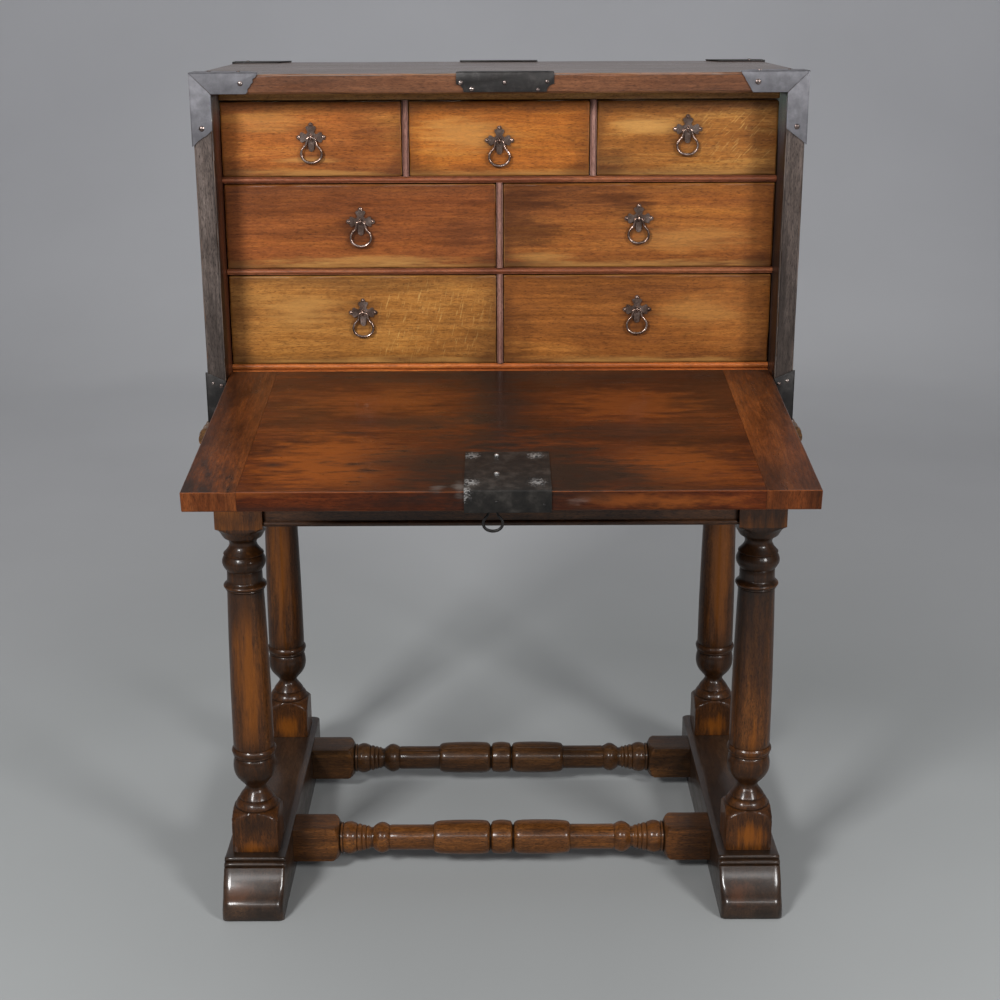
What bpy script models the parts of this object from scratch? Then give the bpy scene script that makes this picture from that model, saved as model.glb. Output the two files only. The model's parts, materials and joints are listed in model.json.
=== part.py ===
# Fall-front writing desk: an iron-bound oak case of seven drawers on a trestle stand.
# X runs to the right, Y to the back and Z up, in metres, with the fall open.
import math

import bmesh
import bpy

# Case
CASE_WIDTH = 0.800
CASE_DEPTH = 0.400
CASE_HEIGHT = 0.4645
BOARD = 0.026
BACK_BOARD = 0.014
RECESS = 0.053

# Nest of drawers, counted down from the case top
TOP_RAIL_HEIGHT = 0.0105
RAIL_DEPTH = 0.022
SHELF = 0.008
ROW_SHARES = (0.2943, 0.3391, 0.3666)
PLINTH_HEIGHT = 0.0439
FLOOR_BOARD = 0.009
PLINTH = 0.018

# Drawers
DRAWER_FRONT = 0.018
DRAWER_SIDE = 0.009
DRAWER_BOTTOM = 0.007
DRAWER_SIDE_PLAY = 0.001
DRAWER_TOP_PLAY = 0.0018
DRAWER_BACK_GAP = 0.010

# Fall
FALL_THICK = 0.0250
FALL_SETBACK = 0.0015
FALL_TAIL = 0.019
FALL_SIDE_PLAY = 0.0015
FALL_TOP_GAP = 0.003
FALL_SWING_PLAY = 0.0012
FALL_DROOP = math.radians(7.5)
CLEAT_WIDTH = 0.065
PIN_RADIUS = 0.004
PIN_REACH = 0.022
PIN_HEAD_RADIUS = 0.008
PIN_HEAD = 0.002

# Stand
STAND_HEIGHT = 0.7292
LEG_BLOCK = 0.068
STAND_SIDE_INSET = 0.036
STAND_END_INSET = 0.005
LEG_FOOT_BLOCK = 0.064
LEG_FOOT_SHOULDER = 0.018
LEG_TOP_SHOULDER = 0.0155
LEG_TOP_DROP = 0.0172
STAND_RAIL = 0.144
STAND_RAIL_THICK = 0.024
STAND_RAIL_SETBACK = 0.008
FOOT_HEIGHT = 0.081
FOOT_WIDTH = 0.0895
TOE_REACH = 0.061
TOE_HEIGHT = 0.030
TOE_FLAT = 0.016
TOE_STEP = 0.006
HEEL_REACH = 0.015
STRETCHER_BLOCK = 0.054
STRETCHER_HEIGHT = 0.050
STRETCHER_FRONT_INSET = 0.066
STRETCHER_BACK_INSET = 0.050
STRETCHER_BLOCK_LENGTH = 0.070
STRETCHER_SHOULDER = 0.012
LOPER_WIDTH = 0.034
LOPER_DEPTH = 0.040
LOPER_BEARING = 0.159
LOPER_KNOB_RADIUS = 0.009
LOPER_KNOB_LENGTH = 0.018
LOPER_PLAY = 0.0006
LEDGE = 0.020
MOULDING_HEIGHT = 0.029
MOULDING_PROJECTION = 0.014
MOULDING_STEPS = 6

# Ironwork
SHEET = 0.0016
LOCK_WIDTH = 0.102
LOCK_LENGTH = 0.114
LOCK_RETURN = 0.040
LOCK_X = 0.0075
STRIKE_WIDTH = 0.127
STRIKE_RETURN = 0.020
STRIKE_MARGIN = 0.002
PULL_HALF_WIDTH = 0.0205
PULL_HALF_HEIGHT = 0.0175
STAPLE_WIRE = 0.0013
RING_WIRE = 0.0017
RING_PLAY = 0.0004
RING_STANDOFF = 0.0022
RING_WIDTH = 0.031
RING_DROP = 0.035
FALL_RING_WIDTH = 0.026
FALL_RING_DROP = 0.028
FALL_RING_X = -0.010
FALL_RING_INSET = 0.016
CORNER_LONG = 0.088
CORNER_SHORT = 0.071
CORNER_RETURN = 0.045

# Height of each pull's pivot above the middle of its drawer
PULL_LIFT = {
    "top_left": 0.003,
    "top_centre": -0.002,
    "top_right": 0.012,
    "middle_left": 0.007,
    "middle_right": 0.010,
    "lower_left": 0.011,
    "lower_right": 0.014,
}

# Fits and facets
SEAT = 0.0003
EDGE = 0.0015
TENON = 0.004
TURN_STEPS = 18
WIRE_STEPS = 20
WIRE_RESOLUTION = 1

# Leg turning between its two blocks, from the top: length, radius at the start, radius at the end,
# swell of the curve between (negative is a hollow), number of steps. The lengths keep their proportions
# when the leg is made longer or shorter.
LEG_TURNING = (
    (0.0142, 0.0300, 0.0193, -0.0015, 3),
    (0.0158, 0.0193, 0.0284, 0.0006, 3),
    (0.0232, 0.0276, 0.0256, 0.0042, 6),
    (0.0148, 0.0252, 0.0254, 0.0000, 1),
    (0.0155, 0.0256, 0.0266, 0.0045, 5),
    (0.2442, 0.0262, 0.0298, 0.0008, 3),
    (0.0141, 0.0302, 0.0300, 0.0022, 4),
    (0.0507, 0.0278, 0.0148, 0.0085, 8),
    (0.0302, 0.0148, 0.0312, 0.0004, 4),
)

# Half of a stretcher's turning, from its middle out to the block, in the same order
STRETCHER_TURNING = (
    (0.0165, 0.0262, 0.0190, 0.0020, 4),
    (0.0120, 0.0190, 0.0255, 0.0020, 3),
    (0.0640, 0.0255, 0.0248, 0.0006, 2),
    (0.0125, 0.0248, 0.0196, 0.0010, 2),
    (0.0679, 0.0194, 0.0190, 0.0000, 1),
    (0.0244, 0.0194, 0.0168, 0.0056, 5),
    (0.0257, 0.0160, 0.0218, -0.0006, 3),
    (0.0201, 0.0222, 0.0230, 0.0026, 4),
    (0.0058, 0.0222, 0.0226, 0.0000, 1),
)

# Places worked out from the sizes above, with the front of the case at Y = 0
case_bottom_z = STAND_HEIGHT + SEAT
case_top_z = case_bottom_z + CASE_HEIGHT
inner_half = CASE_WIDTH / 2 - BOARD
opening_floor_z = case_bottom_z + BOARD
opening_top_z = case_top_z - BOARD
back_y = CASE_DEPTH - BACK_BOARD

pivot_y = FALL_SETBACK + FALL_THICK / 2
pivot_z = opening_floor_z + math.hypot(FALL_TAIL, FALL_THICK / 2) + FALL_SWING_PLAY
fall_length = opening_top_z - FALL_TOP_GAP - pivot_z + FALL_TAIL
fall_half = inner_half - FALL_SIDE_PLAY
fall_front = FALL_TAIL - fall_length

leg_x = CASE_WIDTH / 2 - STAND_SIDE_INSET
leg_front_y = STAND_END_INSET
leg_back_y = CASE_DEPTH - STAND_END_INSET
leg_face = LEG_BLOCK / 2
toe_y = leg_front_y - leg_face - TOE_REACH
heel_y = leg_back_y + leg_face + HEEL_REACH
rail_bottom_z = STAND_HEIGHT - STAND_RAIL
rail_half = leg_x - leg_face - SEAT

# The drooping fall rests on the tips of the lopers, which run just below the case
loper_top_z = STAND_HEIGHT - SEAT
underside_drop = pivot_z - SEAT - loper_top_z - FALL_THICK / 2 * math.cos(FALL_DROOP)
loper_lever = underside_drop / math.sin(FALL_DROOP)
loper_tip_y = pivot_y - loper_lever * math.cos(FALL_DROOP) + FALL_THICK / 2 * math.sin(FALL_DROOP)
loper_x = rail_half - LOPER_PLAY - LOPER_WIDTH / 2
loper_back_y = leg_front_y - leg_face + LOPER_BEARING
loper_low_z = loper_top_z - LOPER_DEPTH

# The whole desk is centred on its bounding box, from the lip of the fall to the heels
lip_y = pivot_y + fall_front * math.cos(FALL_DROOP) - FALL_THICK / 2 * math.sin(FALL_DROOP)
lip_y -= SHEET * (math.cos(FALL_DROOP) + math.sin(FALL_DROOP)) + SEAT * math.cos(FALL_DROOP)
centre_shift = -(lip_y + heel_y) / 2


def clear_scene():
    for obj in list(bpy.data.objects):
        bpy.data.objects.remove(obj, do_unlink=True)
    for group in list(bpy.data.collections):
        bpy.data.collections.remove(group)


def collection(name):
    made = bpy.data.collections.new(name)
    bpy.context.scene.collection.children.link(made)
    return made


def material(name, colour, roughness, metallic=0.0):
    made = bpy.data.materials.new(name)
    made.use_nodes = True
    shader = made.node_tree.nodes["Principled BSDF"]
    shader.inputs["Base Color"].default_value = (*colour, 1.0)
    shader.inputs["Roughness"].default_value = roughness
    shader.inputs["Metallic"].default_value = metallic
    return made


def empty(name, place, parent=None, turn_x=0.0):
    made = bpy.data.objects.new(name, None)
    parts.objects.link(made)
    made.parent = parent
    made.location = place
    made.rotation_euler = (turn_x, 0.0, 0.0)
    return made


def node(name, data, finish, place=(0.0, 0.0, 0.0), parent=None, turn=(0.0, 0.0, 0.0)):
    # one named sub-part, hung on the desk's own empty unless another parent is given
    made = bpy.data.objects.new(name, data)
    parts.objects.link(made)
    made.parent = parent or desk
    made.location = place
    made.rotation_euler = turn
    made.data.materials.clear()
    made.data.materials.append(finish)
    return made


def bevelled(obj, width=EDGE):
    soft = obj.modifiers.new("edges", "BEVEL")
    soft.width = width
    soft.segments = 1
    soft.limit_method = "ANGLE"
    soft.angle_limit = math.radians(40)
    return obj


def box_mesh(low, high):
    mesh = bpy.data.meshes.new("box")
    shape = bmesh.new()
    bmesh.ops.create_cube(shape, size=1.0)
    for vert in shape.verts:
        for axis in range(3):
            middle = (low[axis] + high[axis]) / 2
            vert.co[axis] = middle + vert.co[axis] * (high[axis] - low[axis])
    shape.to_mesh(mesh)
    shape.free()
    return mesh


def cylinder_mesh(radius, start, end, axis, steps=16):
    # a round bar along one axis between two places on it
    mesh = bpy.data.meshes.new("bar")
    shape = bmesh.new()
    bmesh.ops.create_cone(shape, cap_ends=True, segments=steps, radius1=radius, radius2=radius,
                          depth=end - start)
    for vert in shape.verts:
        x, y, along = vert.co
        along += (start + end) / 2
        vert.co = {"X": (along, x, y), "Y": (y, along, x), "Z": (x, y, along)}[axis]
    shape.to_mesh(mesh)
    shape.free()
    return mesh


def baked(obj):
    # the evaluated mesh of an object, with loose caps welded, in the object's parent space
    bpy.context.view_layer.update()
    graph = bpy.context.evaluated_depsgraph_get()
    mesh = bpy.data.meshes.new_from_object(obj.evaluated_get(graph))
    shape = bmesh.new()
    shape.from_mesh(mesh)
    bmesh.ops.remove_doubles(shape, verts=shape.verts, dist=0.00001)
    bmesh.ops.recalc_face_normals(shape, faces=shape.faces)
    shape.to_mesh(mesh)
    shape.free()
    mesh.transform(obj.matrix_basis)
    bpy.data.objects.remove(obj, do_unlink=True)
    return mesh


def combined(base, others, operation):
    # Boolean of one mesh with several, as a new mesh
    body = bpy.data.objects.new("body", base)
    cutters.objects.link(body)
    tools = []
    for other in others:
        tool = bpy.data.objects.new("tool", other)
        tool.hide_render = True
        tool.display_type = "WIRE"
        cutters.objects.link(tool)
        cut = body.modifiers.new("cut", "BOOLEAN")
        cut.operation = operation
        cut.object = tool
        tools.append(tool)
    mesh = baked(body)
    for tool in tools:
        bpy.data.objects.remove(tool, do_unlink=True)
    return mesh


def smoothed(mesh, degrees=35):
    mesh.shade_smooth()
    mesh.set_sharp_from_angle(angle=math.radians(degrees))
    return mesh


def turned_mesh(profile):
    # profile is (height, radius) from the top down, closed on the axis
    points = [(0.0, profile[0][0])]
    points += [(radius, height) for height, radius in profile]
    points.append((0.0, profile[-1][0]))
    mesh = bpy.data.meshes.new("turning")
    mesh.from_pydata([(r, 0.0, z) for r, z in points],
                     [(i, i + 1) for i in range(len(points) - 1)], [])
    body = bpy.data.objects.new("turning", mesh)
    cutters.objects.link(body)
    lathe = body.modifiers.new("lathe", "SCREW")
    lathe.axis = "Z"
    lathe.steps = TURN_STEPS
    lathe.render_steps = TURN_STEPS
    lathe.use_merge_vertices = True
    lathe.merge_threshold = 0.00005
    return baked(body)


def turning_points(elements, start, end):
    # heights and radii down a run of turned elements that fills the length from start to end
    points = []
    height = start
    stretch = (start - end) / sum(element[0] for element in elements)
    for share, first, last, swell, steps in elements:
        length = share * stretch
        for step in range(steps + 1):
            u = step / steps
            radius = first + (last - first) * u + swell * math.sin(math.pi * u)
            if points and abs(points[-1][0] - (height - length * u)) < 1e-7:
                if abs(points[-1][1] - radius) < 1e-5:
                    continue
            points.append((height - length * u, radius))
        height -= length
    return points


def outline_mesh(points, thickness, turn):
    # a flat outline of straight runs, given its thickness both ways from its plane
    curve = bpy.data.curves.new("outline", "CURVE")
    curve.dimensions = "2D"
    curve.fill_mode = "BOTH"
    curve.extrude = thickness / 2
    run = curve.splines.new("POLY")
    run.points.add(len(points) - 1)
    for point, (x, y) in zip(run.points, points):
        point.co = (x, y, 0.0, 1.0)
    run.use_cyclic_u = True
    body = bpy.data.objects.new("outline", curve)
    body.rotation_euler = turn
    cutters.objects.link(body)
    return baked(body)


def wire_mesh(points, radius, closed):
    curve = bpy.data.curves.new("wire", "CURVE")
    curve.dimensions = "3D"
    curve.bevel_depth = radius
    curve.bevel_resolution = WIRE_RESOLUTION
    curve.use_fill_caps = True
    run = curve.splines.new("POLY")
    run.points.add(len(points) - 1)
    for point, place in zip(run.points, points):
        point.co = (*place, 1.0)
    run.use_cyclic_u = closed
    body = bpy.data.objects.new("wire", curve)
    cutters.objects.link(body)
    return smoothed(baked(body), 60)


# Turns that stand an outline drawn in X and Y up in another plane
ALONG_X = (math.pi / 2, 0.0, math.pi / 2)   # drawn as Y and Z, thick along X
ALONG_Y = (math.pi / 2, 0.0, 0.0)           # drawn as X and Z, thick along Y


def foot_outline():
    # a sledge foot: square at the heel, two fillets and an ogee down to the toe
    shoulder = leg_front_y - leg_face - TOE_FLAT
    ogee_top = FOOT_HEIGHT - 2 * TOE_STEP
    ogee_back = shoulder - 2 * TOE_STEP
    points = [(heel_y, 0.0), (heel_y, FOOT_HEIGHT), (shoulder, FOOT_HEIGHT)]
    points.append((shoulder, FOOT_HEIGHT - TOE_STEP))
    points.append((shoulder - TOE_STEP, FOOT_HEIGHT - TOE_STEP))
    points.append((shoulder - TOE_STEP, ogee_top))
    steps = 8
    for step in range(steps + 1):
        u = step / steps
        fall = (1 - math.cos(math.pi * u)) / 2
        points.append((ogee_back + (toe_y - ogee_back) * u, ogee_top - (ogee_top - TOE_HEIGHT) * fall))
    points.append((toe_y, 0.0))
    return points


def make_feet():
    mesh = outline_mesh(foot_outline(), FOOT_WIDTH, ALONG_X)
    for side, x in (("left", -leg_x), ("right", leg_x)):
        bevelled(node(f"foot_{side}", mesh.copy(), oak_stand, (x, 0.0, 0.0)))


def shouldered_block(side, square_end, turned_end, shoulder):
    # a square block along Z, its corners turned away over the last stretch before the turning
    block = box_mesh((-side, -side, min(square_end, turned_end)), (side, side, max(square_end, turned_end)))
    inward = math.copysign(1.0, square_end - turned_end)
    profile = [(square_end + inward * SEAT, side * math.sqrt(2) * 1.02)]
    steps = 4
    for step in range(steps + 1):
        u = step / steps
        radius = side * (math.sqrt(2) * 1.02 - 0.5 * u * u)
        profile.append((turned_end + inward * shoulder * (1 - u), radius))
    profile.sort(reverse=True)
    return combined(block, [turned_mesh(profile)], "INTERSECT")


def leg_mesh():
    # square blocks at both ends of one turning
    low = FOOT_HEIGHT + SEAT
    block_top = low + LEG_FOOT_BLOCK
    start = rail_bottom_z - LEG_TOP_DROP
    profile = turning_points(LEG_TURNING, start, block_top)
    profile.insert(0, (start + TENON, profile[0][1]))
    profile.append((block_top - TENON, profile[-1][1]))
    top = shouldered_block(leg_face, STAND_HEIGHT, start, LEG_TOP_SHOULDER)
    foot = shouldered_block(leg_face, low, block_top, LEG_FOOT_SHOULDER)
    return smoothed(combined(turned_mesh(profile), [top, foot], "UNION"))


def make_legs():
    mesh = leg_mesh()
    for side, x in (("left", -leg_x), ("right", leg_x)):
        for end, y in (("front", leg_front_y), ("back", leg_back_y)):
            node(f"leg_{end}_{side}", mesh.copy(), oak_stand, (x, y, 0.0))


def stretcher_mesh():
    # made upright about its own middle, then laid along X
    half = leg_x - FOOT_WIDTH / 2 - SEAT
    block_start = half - STRETCHER_BLOCK_LENGTH
    lower = turning_points(STRETCHER_TURNING, 0.0, -block_start)
    lower.append((-block_start - TENON, lower[-1][1]))
    upper = [(-height, radius) for height, radius in reversed(lower[1:])]
    side = STRETCHER_BLOCK / 2
    blocks = [shouldered_block(side, -half, -block_start, STRETCHER_SHOULDER),
              shouldered_block(side, half, block_start, STRETCHER_SHOULDER)]
    return smoothed(combined(turned_mesh(upper + lower), blocks, "UNION"))


def make_stretchers():
    mesh = stretcher_mesh()
    laid = (0.0, math.pi / 2, 0.0)
    front_y = leg_front_y + STRETCHER_FRONT_INSET
    back = leg_back_y - STRETCHER_BACK_INSET
    node("stretcher_front", mesh, oak_stand, (0.0, front_y, STRETCHER_HEIGHT), turn=laid)
    node("stretcher_back", mesh.copy(), oak_stand, (0.0, back, STRETCHER_HEIGHT), turn=laid)


def make_stand_rails():
    # the front rail is notched for the lopers; each end rail carries the ledge a loper runs on
    front = leg_front_y - leg_face + STAND_RAIL_SETBACK
    notches = []
    for side in (-1, 1):
        reach = LOPER_WIDTH / 2 + LOPER_PLAY
        notches.append(box_mesh((side * loper_x - reach, front - 0.01, loper_low_z - SEAT),
                                (side * loper_x + reach, front + STAND_RAIL_THICK + 0.01,
                                 STAND_HEIGHT + 0.01)))
    plain = box_mesh((-rail_half, front, rail_bottom_z),
                     (rail_half, front + STAND_RAIL_THICK, STAND_HEIGHT))
    node("stand_rail_front", combined(plain, notches, "DIFFERENCE"), oak_stand)
    rear = leg_back_y + leg_face - STAND_RAIL_SETBACK
    plain = box_mesh((-rail_half, rear - STAND_RAIL_THICK, rail_bottom_z),
                     (rail_half, rear, STAND_HEIGHT))
    bevelled(node("stand_rail_back", plain, oak_stand))
    wall_out = leg_x + STAND_RAIL_THICK / 2
    wall_in = leg_x - STAND_RAIL_THICK / 2
    ledge_in = loper_x - LOPER_WIDTH / 2
    ledge_top = loper_low_z - SEAT
    section = [(wall_out, rail_bottom_z), (wall_out, STAND_HEIGHT), (wall_in, STAND_HEIGHT),
               (wall_in, ledge_top), (ledge_in, ledge_top), (ledge_in, ledge_top - LEDGE),
               (wall_in, ledge_top - LEDGE), (wall_in, rail_bottom_z)]
    run = leg_back_y - leg_front_y - LEG_BLOCK - 2 * SEAT
    middle = (leg_front_y + leg_back_y) / 2
    for name, side in (("left", -1), ("right", 1)):
        outline = [(side * x, z) for x, z in section]
        node(f"stand_rail_{name}", outline_mesh(outline, run, ALONG_Y), oak_stand, (0.0, middle, 0.0))


def make_lopers():
    for name, side in (("left", -1), ("right", 1)):
        bar = box_mesh((-LOPER_WIDTH / 2, 0.0, -LOPER_DEPTH),
                       (LOPER_WIDTH / 2, loper_back_y - loper_tip_y, 0.0))
        knob = cylinder_mesh(LOPER_KNOB_RADIUS, -LOPER_KNOB_LENGTH, LOPER_KNOB_LENGTH / 2, "Y")
        for vert in knob.vertices:
            vert.co.z -= LOPER_DEPTH / 2
        mesh = smoothed(combined(bar, [knob], "UNION"))
        node(f"loper_{name}", mesh, oak_stand, (side * loper_x, loper_tip_y, loper_top_z))


def make_case():
    half = CASE_WIDTH / 2
    bevelled(node("case_top", box_mesh((-half, 0.0, opening_top_z), (half, CASE_DEPTH, case_top_z)),
                  oak_case))
    bevelled(node("case_bottom", box_mesh((-half, 0.0, case_bottom_z),
                                          (half, CASE_DEPTH, opening_floor_z)), oak_case))
    for name, side in (("left", -1), ("right", 1)):
        near, far = sorted((side * inner_half, side * half))
        board = box_mesh((near, 0.0, opening_floor_z + SEAT), (far, CASE_DEPTH, opening_top_z - SEAT))
        reach = sorted((side * (inner_half - 0.01), side * (half + 0.01)))
        bore = cylinder_mesh(PIN_RADIUS + SEAT, reach[0], reach[1], "X")
        for vert in bore.vertices:
            vert.co.y += pivot_y
            vert.co.z += pivot_z
        node(f"case_side_{name}", combined(board, [bore], "DIFFERENCE"), oak_case)
    node("case_back", box_mesh((-inner_half + SEAT, back_y, opening_floor_z + SEAT),
                               (inner_half - SEAT, CASE_DEPTH, opening_top_z - SEAT)), oak_case)


def row_levels():
    # top and bottom of each row of cells, from the top rail down
    levels = []
    high = opening_top_z - TOP_RAIL_HEIGHT
    open_height = high - opening_floor_z - PLINTH_HEIGHT - (len(ROW_SHARES) - 1) * SHELF
    for share in ROW_SHARES:
        height = open_height * share / sum(ROW_SHARES)
        levels.append((high, high - height))
        high -= height + SHELF
    return levels


def nest_board(name, low, high):
    return bevelled(node(name, box_mesh(low, high), oak_rail), SHELF / 6)


def make_nest():
    side = inner_half - SEAT
    rows = row_levels()
    deep = back_y - SEAT
    nest_board("nest_top_rail", (-side, RECESS, rows[0][0]),
               (side, RECESS + RAIL_DEPTH, opening_top_z - SEAT))
    nest_board("nest_shelf_upper", (-side, RECESS, rows[1][0]), (side, deep, rows[0][1]))
    nest_board("nest_shelf_lower", (-side, RECESS, rows[2][0]), (side, deep, rows[1][1]))
    floor = rows[2][1]
    low = opening_floor_z + SEAT
    section = [(RECESS, low), (RECESS + PLINTH, low), (RECESS + PLINTH, floor - FLOOR_BOARD),
               (deep, floor - FLOOR_BOARD), (deep, floor), (RECESS, floor)]
    node("nest_plinth", outline_mesh(section, 2 * side, ALONG_X), oak_rail)
    third = (2 * inner_half - 2 * SHELF) / 3
    at = third / 2 + SHELF / 2
    places = (("divider_top_left", -at, 0), ("divider_top_right", at, 0),
              ("divider_middle", 0.0, 1), ("divider_lower", 0.0, 2))
    for name, x, row in places:
        high, low = rows[row]
        nest_board(name, (x - SHELF / 2, RECESS, low + SEAT), (x + SHELF / 2, deep, high - SEAT))


def drawer_cells():
    # name, left, right, bottom and top of each drawer's cell
    rows = row_levels()
    third = (2 * inner_half - 2 * SHELF) / 3
    cells = []
    for column, word in enumerate(("left", "centre", "right")):
        left = -inner_half + column * (third + SHELF)
        cells.append((f"top_{word}", left, left + third, rows[0][1], rows[0][0]))
    for row, level in (("middle", rows[1]), ("lower", rows[2])):
        cells.append((f"{row}_left", -inner_half, -SHELF / 2, level[1], level[0]))
        cells.append((f"{row}_right", SHELF / 2, inner_half, level[1], level[0]))
    return cells


def pull_plate_mesh():
    # a four-lobed iron plate in the XZ plane with a staple standing out of it towards -Y
    steps = 32
    points = []
    for step in range(steps):
        angle = 2 * math.pi * step / steps
        lobe = 0.48 + 0.52 * math.cos(2 * angle) ** 2
        points.append((PULL_HALF_WIDTH * lobe * math.cos(angle), PULL_HALF_HEIGHT * lobe * math.sin(angle)))
    plate = outline_mesh(points, SHEET, ALONG_Y)
    return smoothed(combined(plate, [staple_mesh(SHEET)], "UNION"), 50)


def staple_mesh(bury):
    # a round staple in the YZ plane, its eye centred on the origin's height
    bend = RING_WIRE + RING_PLAY + STAPLE_WIRE
    front = -SHEET / 2 - RING_STANDOFF
    points = [(0.0, bury / 4, bend)]
    steps = 8
    for step in range(steps + 1):
        angle = math.pi / 2 - math.pi * step / steps
        points.append((0.0, front - bend * math.cos(angle), bend * math.sin(angle)))
    points.append((0.0, bury / 4, -bend))
    return wire_mesh(points, STAPLE_WIRE, False)


def ring_mesh(width, drop):
    # a pear-shaped ring hanging down -Z from its pivot at the origin
    neck, spread = 0.72, 0.28
    widest = max(math.sin(a / 100) * (neck - spread * math.cos(a / 100)) for a in range(315))
    points = []
    for step in range(WIRE_STEPS):
        angle = 2 * math.pi * step / WIRE_STEPS
        x = (width / 2 - RING_WIRE) / widest * math.sin(angle) * (neck - spread * math.cos(angle))
        z = -(drop - RING_WIRE) / 2 * (1 - math.cos(angle))
        points.append((x, 0.0, z))
    return wire_mesh(points, RING_WIRE, True)


def make_drawers():
    plate_mesh = pull_plate_mesh()
    hoop = ring_mesh(RING_WIDTH, RING_DROP)
    length = back_y - DRAWER_BACK_GAP - RECESS
    for name, left, right, low, high in drawer_cells():
        wide = (right - left) / 2 - DRAWER_SIDE_PLAY
        tall = high - low - SEAT - DRAWER_TOP_PLAY
        outer = box_mesh((-wide, 0.0, 0.0), (wide, length, tall))
        hollow = box_mesh((-wide + DRAWER_SIDE, DRAWER_FRONT, DRAWER_BOTTOM),
                          (wide - DRAWER_SIDE, length - DRAWER_SIDE, tall + 0.01))
        place = ((left + right) / 2, RECESS, low + SEAT)
        node(f"drawer_{name}", combined(outer, [hollow], "DIFFERENCE"), oak_drawer, place)
        height = low + SEAT + tall / 2 + PULL_LIFT[name]
        face = RECESS - SEAT
        node(f"pull_plate_{name}", plate_mesh.copy(), iron, (place[0], face - SHEET / 2, height))
        pivot = (place[0], face - SHEET - RING_STANDOFF, height)
        node(f"pull_ring_{name}", hoop.copy(), iron, pivot)


def make_fall():
    # drawn lying level about its hinge line, then let down by its droop
    hinge = empty("fall_hinge", (0.0, pivot_y, pivot_z), desk, FALL_DROOP)
    up = FALL_THICK / 2
    panel_half = fall_half - CLEAT_WIDTH
    bevelled(node("fall_panel", box_mesh((-panel_half, fall_front, -up), (panel_half, FALL_TAIL, up)),
                  oak_fall, parent=hinge))
    for name, side in (("left", -1), ("right", 1)):
        ends = sorted((side * (panel_half + SEAT), side * fall_half))
        board = box_mesh((ends[0], fall_front, -up), (ends[1], FALL_TAIL, up))
        reach = sorted((side * (fall_half - PIN_REACH - SEAT), side * (fall_half + 0.01)))
        bore = cylinder_mesh(PIN_RADIUS + SEAT, reach[0], reach[1], "X")
        node(f"fall_cleat_{name}", combined(board, [bore], "DIFFERENCE"), oak_fall, parent=hinge)
        pin = cylinder_mesh(PIN_RADIUS, -PIN_REACH - FALL_SIDE_PLAY, BOARD + SEAT, "X")
        head = cylinder_mesh(PIN_HEAD_RADIUS, BOARD + SEAT, BOARD + SEAT + PIN_HEAD, "X")
        mesh = smoothed(combined(pin, [head], "UNION"))
        stand_up = (0.0, 0.0, 0.0 if side > 0 else math.pi)
        node(f"hinge_pin_{name}", mesh, iron, (side * inner_half, pivot_y, pivot_z), turn=stand_up)
    make_lock(hinge, up)


def make_lock(hinge, up):
    # a plate folded over the lip of the fall, with the pull ring's staple on the outer face
    inner, outer = up + SEAT, up + SEAT + SHEET
    lip = fall_front - SEAT
    fold = [(fall_front + LOCK_LENGTH, inner), (fall_front + LOCK_LENGTH, outer),
            (lip - SHEET, outer), (lip - SHEET, -outer), (fall_front + LOCK_RETURN, -outer),
            (fall_front + LOCK_RETURN, -inner), (lip, -inner), (lip, inner)]
    plate = outline_mesh(fold, LOCK_WIDTH, ALONG_X)
    eye = staple_mesh(SHEET)
    ring_y = fall_front + FALL_RING_INSET
    for vert in eye.vertices:
        x, y, z = vert.co
        vert.co = (x + FALL_RING_X - LOCK_X, ring_y + z, y - up - SEAT - SHEET / 2)
    node("lock_plate", combined(plate, [eye], "UNION"), iron, (LOCK_X, 0.0, 0.0), hinge)
    drop = -up - SEAT - SHEET - RING_STANDOFF
    swing = empty("fall_ring_swing", (FALL_RING_X, ring_y, drop), hinge, -FALL_DROOP)
    node("fall_ring", ring_mesh(FALL_RING_WIDTH, FALL_RING_DROP), iron, parent=swing)


def make_strike():
    # folded over the front edge of the case top, above the lock
    front = -SEAT
    top = case_top_z + SEAT
    low = opening_top_z + STRIKE_MARGIN
    section = [(front, low), (front, top), (STRIKE_RETURN, top), (STRIKE_RETURN, top + SHEET),
               (front - SHEET, top + SHEET), (front - SHEET, low)]
    node("strike_plate", outline_mesh(section, STRIKE_WIDTH, ALONG_X), iron, (LOCK_X, 0.0, 0.0))


def make_mouldings():
    # a half-round planted along the outer faces of the leg blocks, just under the case
    face = leg_x + leg_face + SEAT
    middle_z = STAND_HEIGHT - MOULDING_HEIGHT / 2
    run = leg_back_y - leg_front_y + LEG_BLOCK
    middle_y = (leg_front_y + leg_back_y) / 2
    for name, side in (("left", -1), ("right", 1)):
        outline = []
        for step in range(MOULDING_STEPS + 1):
            angle = math.pi * (step / MOULDING_STEPS - 0.5)
            outline.append((side * (face + MOULDING_PROJECTION * math.cos(angle)),
                            middle_z + MOULDING_HEIGHT / 2 * math.sin(angle)))
        mesh = outline_mesh(outline, run, ALONG_Y)
        node(f"stand_moulding_{name}", mesh, oak_stand, (0.0, middle_y, 0.0))


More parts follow.
